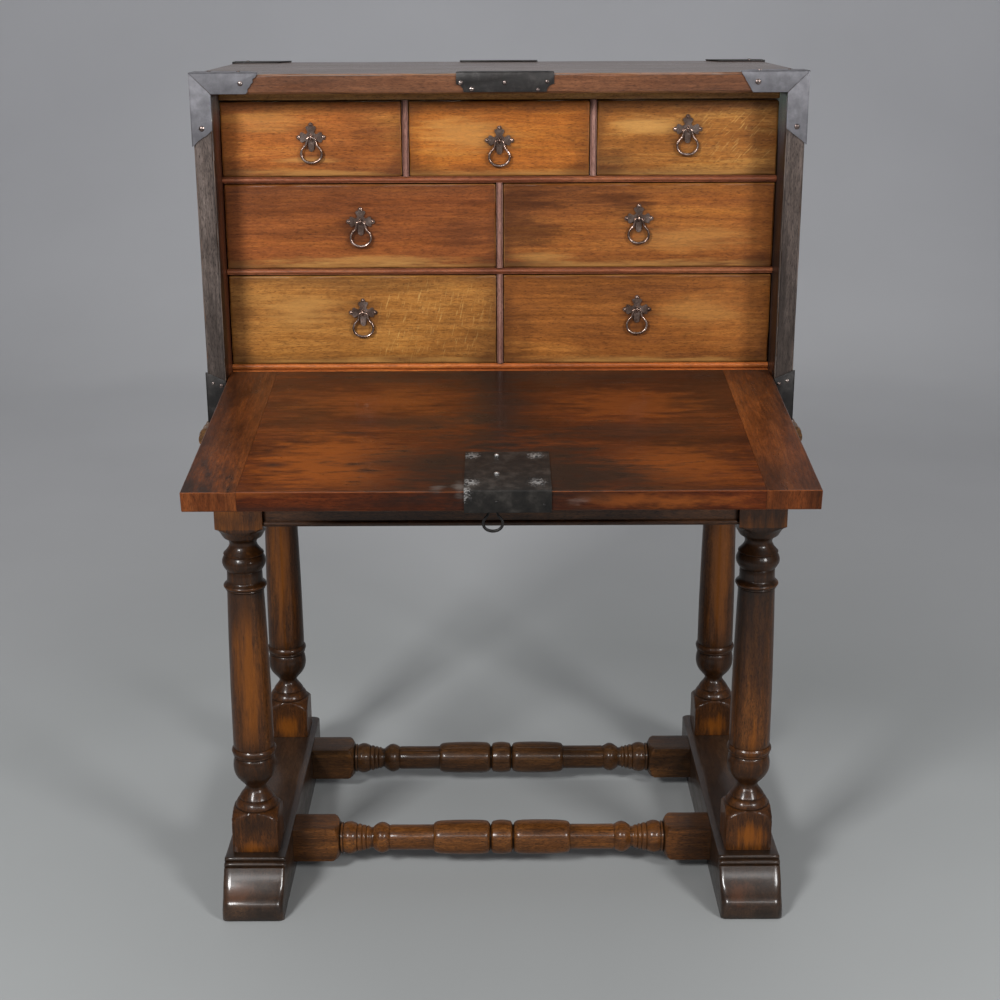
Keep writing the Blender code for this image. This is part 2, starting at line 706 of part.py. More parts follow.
def make_corner_irons():
    # folded over a top front corner of the case: front, top and side leaves in one piece
    out = CASE_WIDTH / 2 + SEAT
    high = case_top_z + SEAT
    for name, side in (("left", -1), ("right", 1)):
        bend_x = out - BOARD
        bend_z = high - BOARD
        outline = [(out - CORNER_LONG, high), (out, high), (out, high - CORNER_LONG),
                   (bend_x, high - CORNER_SHORT), (bend_x, bend_z), (out - CORNER_SHORT, bend_z)]
        front = outline_mesh([(side * x, z) for x, z in outline], SHEET, ALONG_Y)
        for vert in front.vertices:
            vert.co.y -= SEAT + SHEET / 2
        tops = sorted((side * (out - CORNER_LONG), side * (out + SHEET)))
        sides = sorted((side * out, side * (out + SHEET)))
        leaves = [box_mesh((tops[0], -SEAT - SHEET, high), (tops[1], CORNER_RETURN, high + SHEET)),
                  box_mesh((sides[0], -SEAT - SHEET, high - CORNER_LONG),
                           (sides[1], CORNER_RETURN, high + SHEET))]
        node(f"corner_iron_{name}", combined(front, leaves, "UNION"), iron)


clear_scene()
parts = collection("fall_front_desk")
cutters = collection("cutters")
oak_case = material("case_oak", (0.055, 0.036, 0.027), 0.45)
oak_fall = material("fall_oak", (0.110, 0.040, 0.016), 0.35)
oak_drawer = material("drawer_oak", (0.270, 0.105, 0.028), 0.42)
oak_rail = material("nest_rail_oak", (0.130, 0.045, 0.024), 0.45)
oak_stand = material("stand_oak", (0.085, 0.038, 0.014), 0.35)
iron = material("wrought_iron", (0.060, 0.056, 0.055), 0.50, 0.9)
desk = bpy.data.objects.new("desk", None)
parts.objects.link(desk)
desk.location = (0.0, centre_shift, 0.0)
make_feet()
make_legs()
make_stretchers()
make_stand_rails()
make_lopers()
make_case()
make_nest()
make_drawers()
make_fall()
make_strike()
make_mouldings()
make_corner_irons()
bpy.context.view_layer.update()
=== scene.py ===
import json
import math

import bmesh
import bpy
from mathutils import Matrix, Vector, noise

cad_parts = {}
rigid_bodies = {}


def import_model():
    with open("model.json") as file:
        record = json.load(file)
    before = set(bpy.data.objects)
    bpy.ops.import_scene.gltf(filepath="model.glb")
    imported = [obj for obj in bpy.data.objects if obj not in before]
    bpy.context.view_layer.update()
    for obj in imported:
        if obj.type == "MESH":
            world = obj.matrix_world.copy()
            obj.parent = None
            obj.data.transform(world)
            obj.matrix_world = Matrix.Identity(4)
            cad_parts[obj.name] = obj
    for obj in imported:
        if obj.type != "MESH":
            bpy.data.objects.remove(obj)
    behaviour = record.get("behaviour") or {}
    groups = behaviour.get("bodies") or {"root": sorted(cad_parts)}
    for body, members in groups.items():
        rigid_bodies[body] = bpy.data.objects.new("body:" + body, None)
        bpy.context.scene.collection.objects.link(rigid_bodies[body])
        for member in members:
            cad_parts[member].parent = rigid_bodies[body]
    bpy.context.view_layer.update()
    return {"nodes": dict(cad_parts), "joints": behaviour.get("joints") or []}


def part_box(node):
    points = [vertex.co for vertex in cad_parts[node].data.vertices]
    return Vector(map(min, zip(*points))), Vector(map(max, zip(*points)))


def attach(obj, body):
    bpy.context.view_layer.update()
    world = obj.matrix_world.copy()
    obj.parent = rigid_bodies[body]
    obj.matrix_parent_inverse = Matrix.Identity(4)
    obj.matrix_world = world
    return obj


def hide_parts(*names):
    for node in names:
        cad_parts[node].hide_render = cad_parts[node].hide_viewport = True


for old in list(bpy.data.objects):
    bpy.data.objects.remove(old, do_unlink=True)
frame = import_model()
joints = {joint["name"]: joint for joint in frame["joints"]}
base = "stand_and_case"
print("frame loaded:", len(frame["nodes"]), "nodes")


# Helpers for shapes

def finishMesh(mesh, material, body, node=None, sharp=35, place=None, *, slot):
    # shades the mesh, makes a piece of the same name, hangs it on its body and lets it stand for a CAD node
    mesh.materials.append(material)
    mesh.shade_smooth()
    mesh.set_sharp_from_angle(angle=math.radians(sharp))
    piece = bpy.data.objects.new(mesh.name, mesh)
    bpy.context.scene.collection.objects.link(piece)
    if place is not None:
        piece.matrix_world = place
    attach(piece, body)
    if node:
        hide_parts(node)


def refinish(mesh, material, axis, way, limit=0.8):
    # another finish on the faces that look one way along an axis
    mesh.materials.append(material)
    for face in mesh.polygons:
        if face.normal[axis] * way > limit:
            face.material_index = len(mesh.materials) - 1


def meshFrom(name, verts, faces):
    mesh = bpy.data.meshes.new(name)
    mesh.from_pydata([tuple(v) for v in verts], [], faces)
    shape = bmesh.new()
    shape.from_mesh(mesh)
    bmesh.ops.recalc_face_normals(shape, faces=shape.faces)
    if shape.calc_volume(signed=True) < 0:
        bmesh.ops.reverse_faces(shape, faces=shape.faces)
    shape.to_mesh(mesh)
    shape.free()
    return mesh


def tubeFaces(rows, around, closed=False):
    # quads between rows of points that go round, and a cap at both ends unless the rows close
    faces = []
    for i in range(rows if closed else rows - 1):
        here, there = i * around, (i + 1) % rows * around
        for s in range(around):
            t = (s + 1) % around
            faces.append([here + s, here + t, there + t, there + s])
    if not closed:
        faces += [list(range(around)), [(rows - 1) * around + s for s in range(around)]]
    return faces


def setLayers(mesh, dirtAndShade, rubbed):
    # how dark each point is with dirt and painted shade, and how worn, for the finishes
    for word, values in (("dirtAndShade", dirtAndShade), ("rubbed", rubbed)):
        layer = mesh.attributes.new(word, "FLOAT", "POINT")
        layer.data.foreach_set("value", values)


def steps(low, high, soft, cell):
    # places along one side of a board: close together in the rounded edge, one just past it that keeps
    # the face's shading flat, then even cells
    inner = high - low - 2 * soft
    count = max(1, round(inner / cell))
    edge = [low, low + 0.12 * soft, low + 0.4 * soft, low + soft]
    if inner / count > 2.5 * soft:
        edge.append(low + 1.7 * soft)
    middle = [low + soft + inner * i / count for i in range(1, count)]
    return edge + middle + [high + low - e for e in reversed(edge)]


# how far dirt and painted shade creep in from the edges of a board, and waves to the metre of its worn edges
# and uneven faces
boardSet = {"dirtAndShade": 0.022, "worn": 45, "wavy": 11}


def boardMesh(name, low, high, soft, wear=0.5, wave=0.00015, cell=0.03, seed=0.0, joints=()):
    # a hand-planed board: rounded edges worn unevenly, faces a little out of flat, dirt and painted shade
    # near its edges;
    # joints are the sides (axis, -1 or 1) that butt against another board and so stay square
    low, high = Vector(low), Vector(high)
    soft = min(soft, 0.45 * min(high - low))
    lines = [steps(low[a], high[a], soft, cell) for a in range(3)]
    lowCore = [low[a] + (0 if (a, -1) in joints else soft) for a in range(3)]
    highCore = [high[a] - (0 if (a, 1) in joints else soft) for a in range(3)]
    lookup, verts, faces = {}, [], []
    last = [len(line) - 1 for line in lines]
    for axis in range(3):
        u, v = (axis + 1) % 3, (axis + 2) % 3
        for end in (0, last[axis]):
            for i in range(last[u]):
                for j in range(last[v]):
                    quad = []
                    for di, dj in ((0, 0), (1, 0), (1, 1), (0, 1)):
                        index = [0, 0, 0]
                        index[axis], index[u], index[v] = end, i + di, j + dj
                        key = tuple(index)
                        if key not in lookup:
                            lookup[key] = len(verts)
                            verts.append(Vector([lines[a][key[a]] for a in range(3)]))
                        quad.append(lookup[key])
                    faces.append(quad)
    dirtAndShade, rubbed = [], []
    for n, p in enumerate(verts):
        core = Vector([min(max(p[a], lowCore[a]), highCore[a]) for a in range(3)])
        out = p - core
        sides = sum(1 for a in range(3) if abs(out[a]) > 0.3 * soft)
        if out.length < 1e-9:
            dirtAndShade.append(1.0)
            rubbed.append(0.0)
            continue
        worn = 1.0
        if sides > 1:
            rough = noise.fractal(p * boardSet["worn"] + Vector((seed, seed, seed)), 0.8, 2.0, 3)
            worn = 1.0 - wear * max(0.0, 0.25 + 0.9 * rough)
        spot = core + out.normalized() * soft * worn
        face = max(range(3), key=lambda a: abs(out[a]))
        dip = wave * (1 + noise.noise(p * boardSet["wavy"] + Vector((seed, 0, seed))))
        spot[face] -= math.copysign(dip, out[face])
        # dirt and painted shade: darker within reach of the face's edges, but not towards butted sides
        gaps = []
        for a in range(3):
            if a != face:
                gaps += [p[a] - low[a] + ((a, -1) in joints), high[a] - p[a] + ((a, 1) in joints)]
        dirtAndShade.append(max(0.0, 1.0 - min(gaps) / boardSet["dirtAndShade"]))
        rubbed.append(1.0 if sides > 1 else 0.0)
        verts[n] = spot
    mesh = meshFrom(name, verts, faces)
    setLayers(mesh, dirtAndShade, rubbed)
    return mesh


def slabMesh(name, outline, axis, low, high, soft):
    # a flat outline given thickness along one axis, with softened edges; outline is in the other two axes
    across = [a for a in range(3) if a != axis]
    verts = []
    for depth in (low, high):
        for a, b in outline:
            spot = [0.0, 0.0, 0.0]
            spot[axis], spot[across[0]], spot[across[1]] = depth, a, b
            verts.append(spot)
    mesh = meshFrom(name, verts, tubeFaces(2, len(outline)))
    if soft > 0:
        shape = bmesh.new()
        shape.from_mesh(mesh)
        rims = [e for e in shape.edges if e.is_manifold and e.calc_face_angle() > math.radians(32)]
        bmesh.ops.bevel(shape, geom=rims, offset=soft, segments=2, profile=0.5, affect="EDGES",
                        clamp_overlap=True)
        shape.to_mesh(mesh)
        shape.free()
    return mesh


def radiusAt(rings, along):
    for (a, first), (b, last) in zip(rings, rings[1:]):
        if a <= along <= b:
            return first + (last - first) * (along - a) / max(b - a, 1e-9)
    return rings[0][1] if along < rings[0][0] else rings[-1][1]


# depth of the gouge's ripple and its waves to the metre; old polish and painted shade fill hollows this deep,
# measured against the mean of nine places a span apart
turnSet = {"ripple": 0.00012, "lumps": 40, "span": 0.0015, "hollow": 0.0026}


def turnedMesh(name, rings, centre, axis, square, sides, seed=0.0):
    # a lathe-turned bar: rings are (place along the axis, radius); square keeps it inside a square block
    verts = []
    other = [a for a in range(3) if a != axis]
    for along, radius in rings:
        for s in range(sides):
            angle = 2 * math.pi * s / sides
            ca, sa = math.cos(angle), math.sin(angle)
            reach = min(radius, square / max(abs(ca), abs(sa))) if square else radius
            spot = Vector((0, 0, 0))
            spot[axis], spot[other[0]], spot[other[1]] = along, reach * ca, reach * sa
            lumps = noise.noise(spot * turnSet["lumps"] + Vector((seed, seed, 0)))
            reach -= turnSet["ripple"] * (1 + lumps)
            spot[other[0]], spot[other[1]] = reach * ca, reach * sa
            verts.append(spot + Vector(centre))
    mesh = meshFrom(name, verts, tubeFaces(len(rings), sides))
    dirtAndShade, rubbed = [], []
    # hollows darken with old polish and painted shade; crowns are rubbed lighter
    for along, radius in rings:
        near = [radiusAt(rings, along + turnSet["span"] * k) for k in range(-4, 5)]
        hollow = (sum(near) / len(near) - radius) / turnSet["hollow"]
        dirtAndShade += [min(max(hollow, 0.0), 1.0)] * sides
        rubbed += [min(max(-hollow, 0.0), 1.0)] * sides
    setLayers(mesh, dirtAndShade, rubbed)
    return mesh


def ringsOf(profile):
    # points (along, radius) and curves (start, end, first radius, last radius, swell, steps) in mm, as rings
    # in metres
    rings = []
    for item in profile:
        if len(item) == 2:
            rings.append((item[0] / 1000, item[1] / 1000))
            continue
        start, end, first, last, swell, count = item
        for i in range(count + 1):
            u = i / count
            radius = first + (last - first) * u + swell * math.sin(math.pi * u)
            rings.append(((start + (end - start) * u) / 1000, radius / 1000))
    return rings


def smoothLoop(points, fine):
    # Catmull-Rom through the points and back to the first
    points = [Vector(p) for p in points]
    count, out = len(points), []
    for i in range(count):
        a, b, c, d = (points[(i + k) % count] for k in (-1, 0, 1, 2))
        for s in range(fine):
            t = s / fine
            out.append(0.5 * (2 * b + (c - a) * t + (2 * a - 5 * b + 4 * c - d) * t * t
                              + (3 * b - a - 3 * c + d) * t ** 3))
    return out


def wireMesh(name, path, radii, closed, normal=(0, 1, 0)):
    # a forged wire along a path that lies in one plane
    verts, count, sides, flat = [], len(path), 12, Vector(normal)
    for i, spot in enumerate(path):
        before = path[i - 1] if closed or i else path[i]
        after = path[(i + 1) % count] if closed or i < count - 1 else path[i]
        along = (after - before).normalized()
        side = along.cross(flat).normalized()
        for s in range(sides):
            angle = 2 * math.pi * s / sides
            verts.append(spot + radii[i] * (math.cos(angle) * side + math.sin(angle) * flat))
    return meshFrom(name, verts, tubeFaces(count, sides, closed))


def starOutline(discs, count):
    # the outer edge of discs round one centre, read along rays from that centre
    edge = []
    for i in range(count):
        angle = 2 * math.pi * i / count
        ray = Vector((math.cos(angle), math.sin(angle)))
        reach = 0.0
        for x, y, radius in discs:
            off = x * ray.y - y * ray.x
            if abs(off) < radius:
                reach = max(reach, x * ray.x + y * ray.y + math.sqrt(radius * radius - off * off))
        edge.append((reach * ray.x, reach * ray.y))
    return edge


# how much the heads differ in size, how dented they are, how deep they sit
studSet = {"rings": 4, "sides": 12, "uneven": 0.3, "dent": 0.10, "sunk": 0.0004}


def studMesh(name, places, radius, height):
    # forged nail heads; each place is (point, direction it stands out in)
    verts, faces = [], []
    rings, sides = studSet["rings"], studSet["sides"]
    for point, out in places:
        out = Vector(out).normalized()
        side = out.orthogonal().normalized()
        up = out.cross(side)
        point = Vector(point)
        first = len(verts)
        wider = radius * (1.0 + studSet["uneven"] * noise.noise(point * 700))
        for r in range(rings):
            lift = math.sin(math.pi / 2 * r / rings)
            wide = math.cos(math.pi / 2 * r / rings)
            for s in range(sides):
                angle = 2 * math.pi * s / sides
                ca, sa = math.cos(angle), math.sin(angle)
                dent = 1 + studSet["dent"] * noise.noise(point * 900 + Vector((ca, sa, r)))
                rise = height * lift - studSet["sunk"] * (r == 0)
                verts.append(point + out * rise + wider * wide * dent * (ca * side + sa * up))
        verts.append(point + out * height)
        for r in range(rings - 1):
            for s in range(sides):
                t = (s + 1) % sides
                a = first + r * sides
                faces.append([a + s, a + t, a + sides + t, a + sides + s])
        top = first + (rings - 1) * sides
        for s in range(sides):
            faces.append([top + s, top + (s + 1) % sides, len(verts) - 1])
        faces.append([first + s for s in reversed(range(sides))])
    return meshFrom(name, verts, faces)


# Materials

def linear(colour):
    # sRGB hex to linear
    out = []
    for i in (0, 2, 4):
        c = int(colour[i:i + 2], 16) / 255
        out.append(c / 12.92 if c <= 0.04045 else ((c + 0.055) / 1.055) ** 2.4)
    return (*out, 1.0)


def addNode(tree, kind, inputs=None, out=0, stops=None, **settings):
    # one node with its settings, its input values or links, and its ramp stops; gives back one output
    made = tree.nodes.new("ShaderNode" + kind)
    for key, value in settings.items():
        setattr(made, key, value)
    for key, value in (inputs or {}).items():
        if isinstance(value, bpy.types.NodeSocket):
            tree.links.new(value, made.inputs[key])
        else:
            made.inputs[key].default_value = value
    if stops:
        ramp = made.color_ramp.elements
        while len(ramp) < len(stops):
            ramp.new(0.5)
        for element, (place, colour) in zip(ramp, stops):
            element.position = place
            element.color = linear(colour)
    return made.outputs[out]


def newMaterial(name):
    made = bpy.data.materials.new(name)
    made.use_nodes = True
    tree = made.node_tree
    return made, tree, tree.nodes["Principled BSDF"]


def perMetre(*sizes):
    # pattern sizes in mm, as waves to the metre
    return tuple(1000 / size for size in sizes)


grainTurn = {"x": (0.0, 0.0, 0.0), "y": (0.0, 0.0, -math.pi / 2), "z": (0.0, math.pi / 2, 0.0)}
# mm along and across the grain, then detail, roughness and twist of the noise;
# the pores are drawn about three times as coarse as life, so that they show
oakPatterns = {
    "figure": (333.3, 58.82, 3.0, 0.5, 1.2),         # broad bands of the growth rings
    "cloud": (200.0, 90.91, 4.0, 0.6, 0.0),          # uneven stain
    "pore": (5.263, 0.6667, 2.0, 0.5, 0.0),
    "fleck": (14.29, 3.030, 4.0, 0.72, 0.0),         # lively light and dark of the fibres
}
oakStreak = {"width": 3, "long": 50, "wander": 166.7, "bend": 0.012}
rayScale = perMetre(20.83, 16.67, 1.923)             # ray flecks: long, wide and thick
oakDefaults = {"shift": (0, 0, 0), "grainWidth": oakStreak["width"], "torn": (111.1, 10.53), "cloud": 0.5,
               "pores": 0.6, "lively": 0.30, "rays": 0, "rayTurn": 1.32, "dirtAndShade": 0.6, "arris": 0,
               "shine": 0.18, "wax": 0.15, "waxRough": 0.16, "bump": 0.35}


def makeOak(name, own):
    # waxed oak: long streaks of grain, dark open pores, pale ray flecks where it is quarter sawn,
    # rubbed and stained patches with ragged edges, old polish and painted shade dark in the corners, polish
    # worn off the arrises
    look = dict(oakDefaults, **own)
    made, tree, shader = newMaterial(name)
    coord = addNode(tree, "TexCoord", out="Object")
    laid = addNode(tree, "Mapping", {"Vector": coord, "Rotation": grainTurn[look["grain"]],
                                     "Location": look["shift"]})
    wobble = addNode(tree, "TexNoise", {"Vector": laid, "Scale": 1000 / oakStreak["wander"], "Detail": 2.0},
                     "Color")
    bent = addNode(tree, "Mix", {0: oakStreak["bend"], 4: laid, 5: wobble}, 1, data_type="VECTOR")
    width = look["grainWidth"]
    patterns = dict(oakPatterns, streak=(width * oakStreak["long"], width, 6.0, 0.68, 0.5),
                    torn=(*look["torn"], 5.0, 0.68, 0.0))
    noises = {}
    for word, (along, across, detail, roughness, twist) in patterns.items():
        spread = addNode(tree, "Mapping", {"Vector": laid if word in ("cloud", "torn") else bent,
                                           "Scale": perMetre(along, across, across)})
        noises[word] = addNode(tree, "TexNoise", {"Vector": spread, "Scale": 1.0, "Detail": detail,
                                                  "Roughness": roughness, "Distortion": twist}, "Fac")

    def awayFrom(place, reach):
        # distance from a place, 1 at its reach
        away = addNode(tree, "VectorMath", {0: coord, 1: place}, operation="SUBTRACT")
        away = addNode(tree, "VectorMath", {0: away, 1: reach}, operation="DIVIDE")
        return addNode(tree, "VectorMath", {0: away}, "Value", operation="LENGTH")

    grain = addNode(tree, "Mix", {0: 0.5, 2: noises["streak"], 3: noises["figure"]})
    colour = addNode(tree, "ValToRGB", {"Fac": grain}, "Color", list(zip((0.30, 0.50, 0.70), look["tones"])))
    value = addNode(tree, "MapRange", {"Value": noises["fleck"], "From Min": 0.30, "From Max": 0.70,
                                       "To Min": 1.0 - look["lively"], "To Max": 1.0 + look["lively"]})

    # layers of colour from the wood up, each a mask and a hue
    layers = []
    for word, start, full, depth, hue in (("cloud", 0.44, 0.70, look["cloud"], "stain"),
                                          ("pore", 0.53, 0.68, look["pores"], "deep")):
        mask = addNode(tree, "MapRange", {"Value": noises[word], "From Min": start, "From Max": full,
                                          "To Max": depth})
        layers.append((mask, hue))
    if look["rays"]:
        turned = addNode(tree, "Mapping", {"Vector": coord, "Rotation": (0, look["rayTurn"], 0)})
        spread = addNode(tree, "Mapping", {"Vector": turned, "Scale": rayScale})
        ray = addNode(tree, "TexNoise", {"Vector": spread, "Scale": 1.0, "Detail": 2.0, "Distortion": 0.7},
                      "Fac")
        ray = addNode(tree, "MapRange", {"Value": ray, "From Min": 0.59, "From Max": 0.72,
                                         "To Max": look["rays"]})
        patch = addNode(tree, "MapRange", {"Value": awayFrom(*look["rayPlace"]), "From Min": 1.1,
                                           "From Max": 0.6})
        layers.append((addNode(tree, "Math", {0: ray, 1: patch}, operation="MULTIPLY"), "ray"))
    for kind, hue in (("rubs", "rub"), ("stains", "black"), ("scuffs", "scuff")):
        for place, reach, strength in look.get(kind, ()):
            away = addNode(tree, "Math", {0: noises["torn"], 1: 2.6, 2: awayFrom(place, reach)},
                           operation="MULTIPLY_ADD")
            mask = addNode(tree, "MapRange", {"Value": away, "From Min": 2.35, "From Max": 1.45,
                                              "To Max": strength}, interpolation_type="SMOOTHSTEP")
            layers.append((mask, hue))
    # dirt and painted shade from the mesh near edges and in hollows, then wear on the arrises
    for word, start, full, depth, hue in (("dirtAndShade", 0.10, 0.55, look["dirtAndShade"], "black"),
                                          ("rubbed", 0.25, 0.60, look["arris"], "rub")):
        if depth:
            mask = addNode(tree, "Attribute", out="Fac", attribute_name=word)
            mask = addNode(tree, "Math", {0: mask, 1: noises["torn"]}, operation="MULTIPLY")
            mask = addNode(tree, "MapRange", {"Value": mask, "From Min": start, "From Max": full,
                                              "To Max": depth})
            layers.append((mask, hue))
    for mask, hue in layers:
        colour = addNode(tree, "Mix", {0: mask, 6: colour, 7: linear(look[hue])}, 2, data_type="RGBA")
        if hue == "deep":        # the fibres liven everything up to the pores
            colour = addNode(tree, "HueSaturation", {"Color": colour, "Value": value})
    tree.links.new(colour, shader.inputs["Base Color"])

    rough = addNode(tree, "MapRange", {"Value": noises["torn"], "From Min": 0.3, "From Max": 0.7,
                                       "To Min": look["rough"] - 0.07, "To Max": look["rough"] + 0.10})
    tree.links.new(rough, shader.inputs["Roughness"])
    shader.inputs["IOR"].default_value = 1.5
    shader.inputs["Specular IOR Level"].default_value = look["shine"]
    shader.inputs["Coat Weight"].default_value = look["wax"]
    shader.inputs["Coat Roughness"].default_value = look["waxRough"]
    height = addNode(tree, "Math", {0: noises["pore"], 1: -0.8, 2: noises["streak"]},
                     operation="MULTIPLY_ADD")
    bump = addNode(tree, "Bump", {"Strength": look["bump"], "Distance": 0.0005, "Height": height}, "Normal")
    tree.links.new(bump, shader.inputs["Normal"])
    return made


# mm across pits, patches of scale and bright specks
ironGrain = {"pit": 2.381, "patch": 18.18, "speck": 1.923}
ironDefaults = {"blow": 9, "rust": 0.35, "rubs": (), "metal": 0.9, "shine": 0.5, "bump": 0.4}


def makeIron(name, own):
    # wrought iron: forged, so broadly dented, dark with old scale, pitted with rust, rubbed bright in places
    look = dict(ironDefaults, **own)
    made, tree, shader = newMaterial(name)
    coord = addNode(tree, "TexCoord", out="Object")
    dent = addNode(tree, "TexVoronoi", {"Vector": coord, "Scale": 1000 / look["blow"], "Randomness": 1.0},
                   "Distance", feature="SMOOTH_F1")
    noises = {}
    for word, detail, roughness in (("pit", 4.0, 0.7), ("patch", 4.0, 0.65), ("speck", 3.0, 0.75)):
        noises[word] = addNode(tree, "TexNoise", {"Vector": coord, "Scale": 1000 / ironGrain[word],
                                                  "Detail": detail, "Roughness": roughness}, "Fac")
    colour = addNode(tree, "ValToRGB", {"Fac": noises["patch"]}, "Color",
                     list(zip((0.34, 0.52, 0.68), look["tones"])))
    rust = addNode(tree, "MapRange", {"Value": noises["pit"], "From Min": 0.58, "From Max": 0.72,
                                      "To Max": look["rust"]})
    colour = addNode(tree, "Mix", {0: rust, 6: colour, 7: linear(look["rustColour"])}, 2, data_type="RGBA")
    for place, reach, strength in look["rubs"]:
        away = addNode(tree, "VectorMath", {0: coord, 1: place}, "Value", operation="DISTANCE")
        away = addNode(tree, "Math", {0: away, 1: reach}, operation="DIVIDE")
        away = addNode(tree, "Math", {0: noises["speck"], 1: 4.0, 2: away}, operation="MULTIPLY_ADD")
        mask = addNode(tree, "MapRange", {"Value": away, "From Min": 2.75, "From Max": 2.05,
                                          "To Max": strength})
        colour = addNode(tree, "Mix", {0: mask, 6: colour, 7: linear(look["bare"])}, 2, data_type="RGBA")
    tree.links.new(colour, shader.inputs["Base Color"])
    shader.inputs["Metallic"].default_value = look["metal"]
    shader.inputs["Specular IOR Level"].default_value = look["shine"]
    rough = addNode(tree, "MapRange", {"Value": noises["patch"], "From Min": 0.3, "From Max": 0.7,
                                       "To Min": look["rough"] + 0.10, "To Max": look["rough"] - 0.08})
    tree.links.new(rough, shader.inputs["Roughness"])
    height = addNode(tree, "Math", {0: noises["pit"], 1: 0.25, 2: dent}, operation="MULTIPLY_ADD")
    bump = addNode(tree, "Bump", {"Strength": look["bump"], "Distance": 0.0012, "Height": height}, "Normal")
    tree.links.new(bump, shader.inputs["Normal"])
    return made


# Camera, floor and light

cameraSet = {"place": (-0.0043, -2.1947, 1.287), "pitch": 17.26, "yaw": -0.086, "roll": -0.217, "focal": 1617}
# power in watts; the strip only shows as a line in the polish of turnings and toes, and the back lamp is low
# and narrow behind the case, so that it shows the back and is hidden from the front
lampSet = {
    "keyLamp": {"place": (-1.7, -2.6, 2.5), "target": (0, 0, 0.75), "size": (0.7, 0.7), "power": 106},
    "fillLamp": {"place": (2.0, -2.3, 2.0), "target": (0, 0, 0.7), "size": (0.7, 0.7), "power": 64},
    "overLamp": {"place": (0.0, 0.2, 3.1), "target": (0, 0.1, 0.6), "size": (2.2, 1.6), "power": 30},
    "stripLamp": {"place": (0.0, -2.9, 2.2), "target": (0, 0, 0.4), "size": (3.4, 0.25), "power": 24,
                  "diffuse": False},
    "backLamp": {"place": (0.0, 2.2, 1.04), "target": (0, 0, 1.02), "size": (1.3, 0.2), "power": 3,
                 "spread": 20},
}
# sizes in metres, the mottle of the paint in mm
stageSet = {"front": -16.0, "behind": 3.2, "curve": 1.8, "high": 8.0, "half": 30.0, "world": 0.24,
            "paintReach": 8.0, "mottle": 714.3}


def makeCamera():
    pitch, yaw, roll = (math.radians(cameraSet[k]) for k in ("pitch", "yaw", "roll"))
    level = Vector((-math.sin(yaw), math.cos(yaw), 0))
    ahead = math.cos(pitch) * level - math.sin(pitch) * Vector((0, 0, 1))
    right = Vector((math.cos(yaw), math.sin(yaw), 0))
    up = math.sin(pitch) * level + math.cos(pitch) * Vector((0, 0, 1))
    across = math.cos(roll) * right + math.sin(roll) * up
    rise = -math.sin(roll) * right + math.cos(roll) * up
    data = bpy.data.cameras.new("deskCamera")
    data.sensor_width = 36
    data.lens = cameraSet["focal"] / 1000 * 36       # focal length in pixels of a picture 1000 wide
    data.clip_end = 60
    camera = bpy.data.objects.new("deskCamera", data)
    bpy.context.scene.collection.objects.link(camera)
    turn = Matrix((across, rise, -ahead)).transposed().to_4x4()
    camera.matrix_world = Matrix.Translation(cameraSet["place"]) @ turn
    bpy.context.scene.camera = camera


def makeLamps():
    for name, lampLook in lampSet.items():
        data = bpy.data.lights.new(name, "AREA")
        data.shape = "RECTANGLE"
        data.size, data.size_y = lampLook["size"]
        data.energy = lampLook["power"]
        data.spread = math.radians(lampLook.get("spread", 180))
        lamp = bpy.data.objects.new(name, data)
        bpy.context.scene.collection.objects.link(lamp)
        lamp.location = lampLook["place"]
        lamp.visible_camera = False
        lamp.visible_diffuse = lampLook.get("diffuse", True)
        aim = Vector(lampLook["target"]) - Vector(lampLook["place"])
        lamp.rotation_euler = aim.to_track_quat("-Z", "Y").to_euler()


def makeStage():
    # painted studio sweep: flat floor that rolls up into a wall far behind the desk, a matt grey that is
    # darkest round the desk, where the lamps light it most, and paler outwards to make up for their light
    # falling off, and a little mottled
    made, tree, shader = newMaterial("paintedSweep")
    coord = addNode(tree, "TexCoord", out="Object")
    far = addNode(tree, "VectorMath", {0: coord}, "Value", operation="LENGTH")
    far = addNode(tree, "MapRange", {"Value": far, "From Max": stageSet["paintReach"]})
    tone = addNode(tree, "ValToRGB", {"Fac": far}, "Color", [
        (0.12, "9b9d9d"), (0.19, "acadae"), (0.30, "c2c2c4"), (0.46, "d8d8da"), (0.64, "cbcbcf"),
        (1.0, "dcdcdf")])
    mottle = addNode(tree, "TexNoise", {"Vector": coord, "Scale": 1000 / stageSet["mottle"], "Detail": 5.0},
                     "Fac")
    mottle = addNode(tree, "MapRange", {"Value": mottle, "To Min": 0.93, "To Max": 1.07})
    tone = addNode(tree, "HueSaturation", {"Color": tone, "Value": mottle})
    tree.links.new(tone, shader.inputs["Base Color"])
    shader.inputs["Roughness"].default_value = 0.6
    behind, curve, bends = stageSet["behind"], stageSet["curve"], 24
    line = [(stageSet["front"], 0.0), (behind, 0.0)]
    for i in range(1, bends + 1):
        angle = math.pi / 2 * i / bends
        line.append((behind + curve * math.sin(angle), curve * (1 - math.cos(angle))))
    line.append((behind + curve, stageSet["high"]))
    verts = [(x, y, z) for y, z in line for x in (-stageSet["half"], stageSet["half"])]
    faces = [[2 * i, 2 * i + 1, 2 * i + 3, 2 * i + 2] for i in range(len(line) - 1)]
    mesh = bpy.data.meshes.new("studioSweep")
    mesh.from_pydata(verts, [], faces)
    mesh.shade_smooth()
    mesh.materials.append(made)
    sweep = bpy.data.objects.new("studioSweep", mesh)
    bpy.context.scene.collection.objects.link(sweep)
    world = bpy.data.worlds.new("softRoom")
    world.use_nodes = True
    shade = world.node_tree.nodes["Background"]
    shade.inputs["Color"].default_value = linear("d9dcdf")
    shade.inputs["Strength"].default_value = stageSet["world"]
    bpy.context.scene.world = world
    bpy.context.scene.view_settings.view_transform = "Standard"


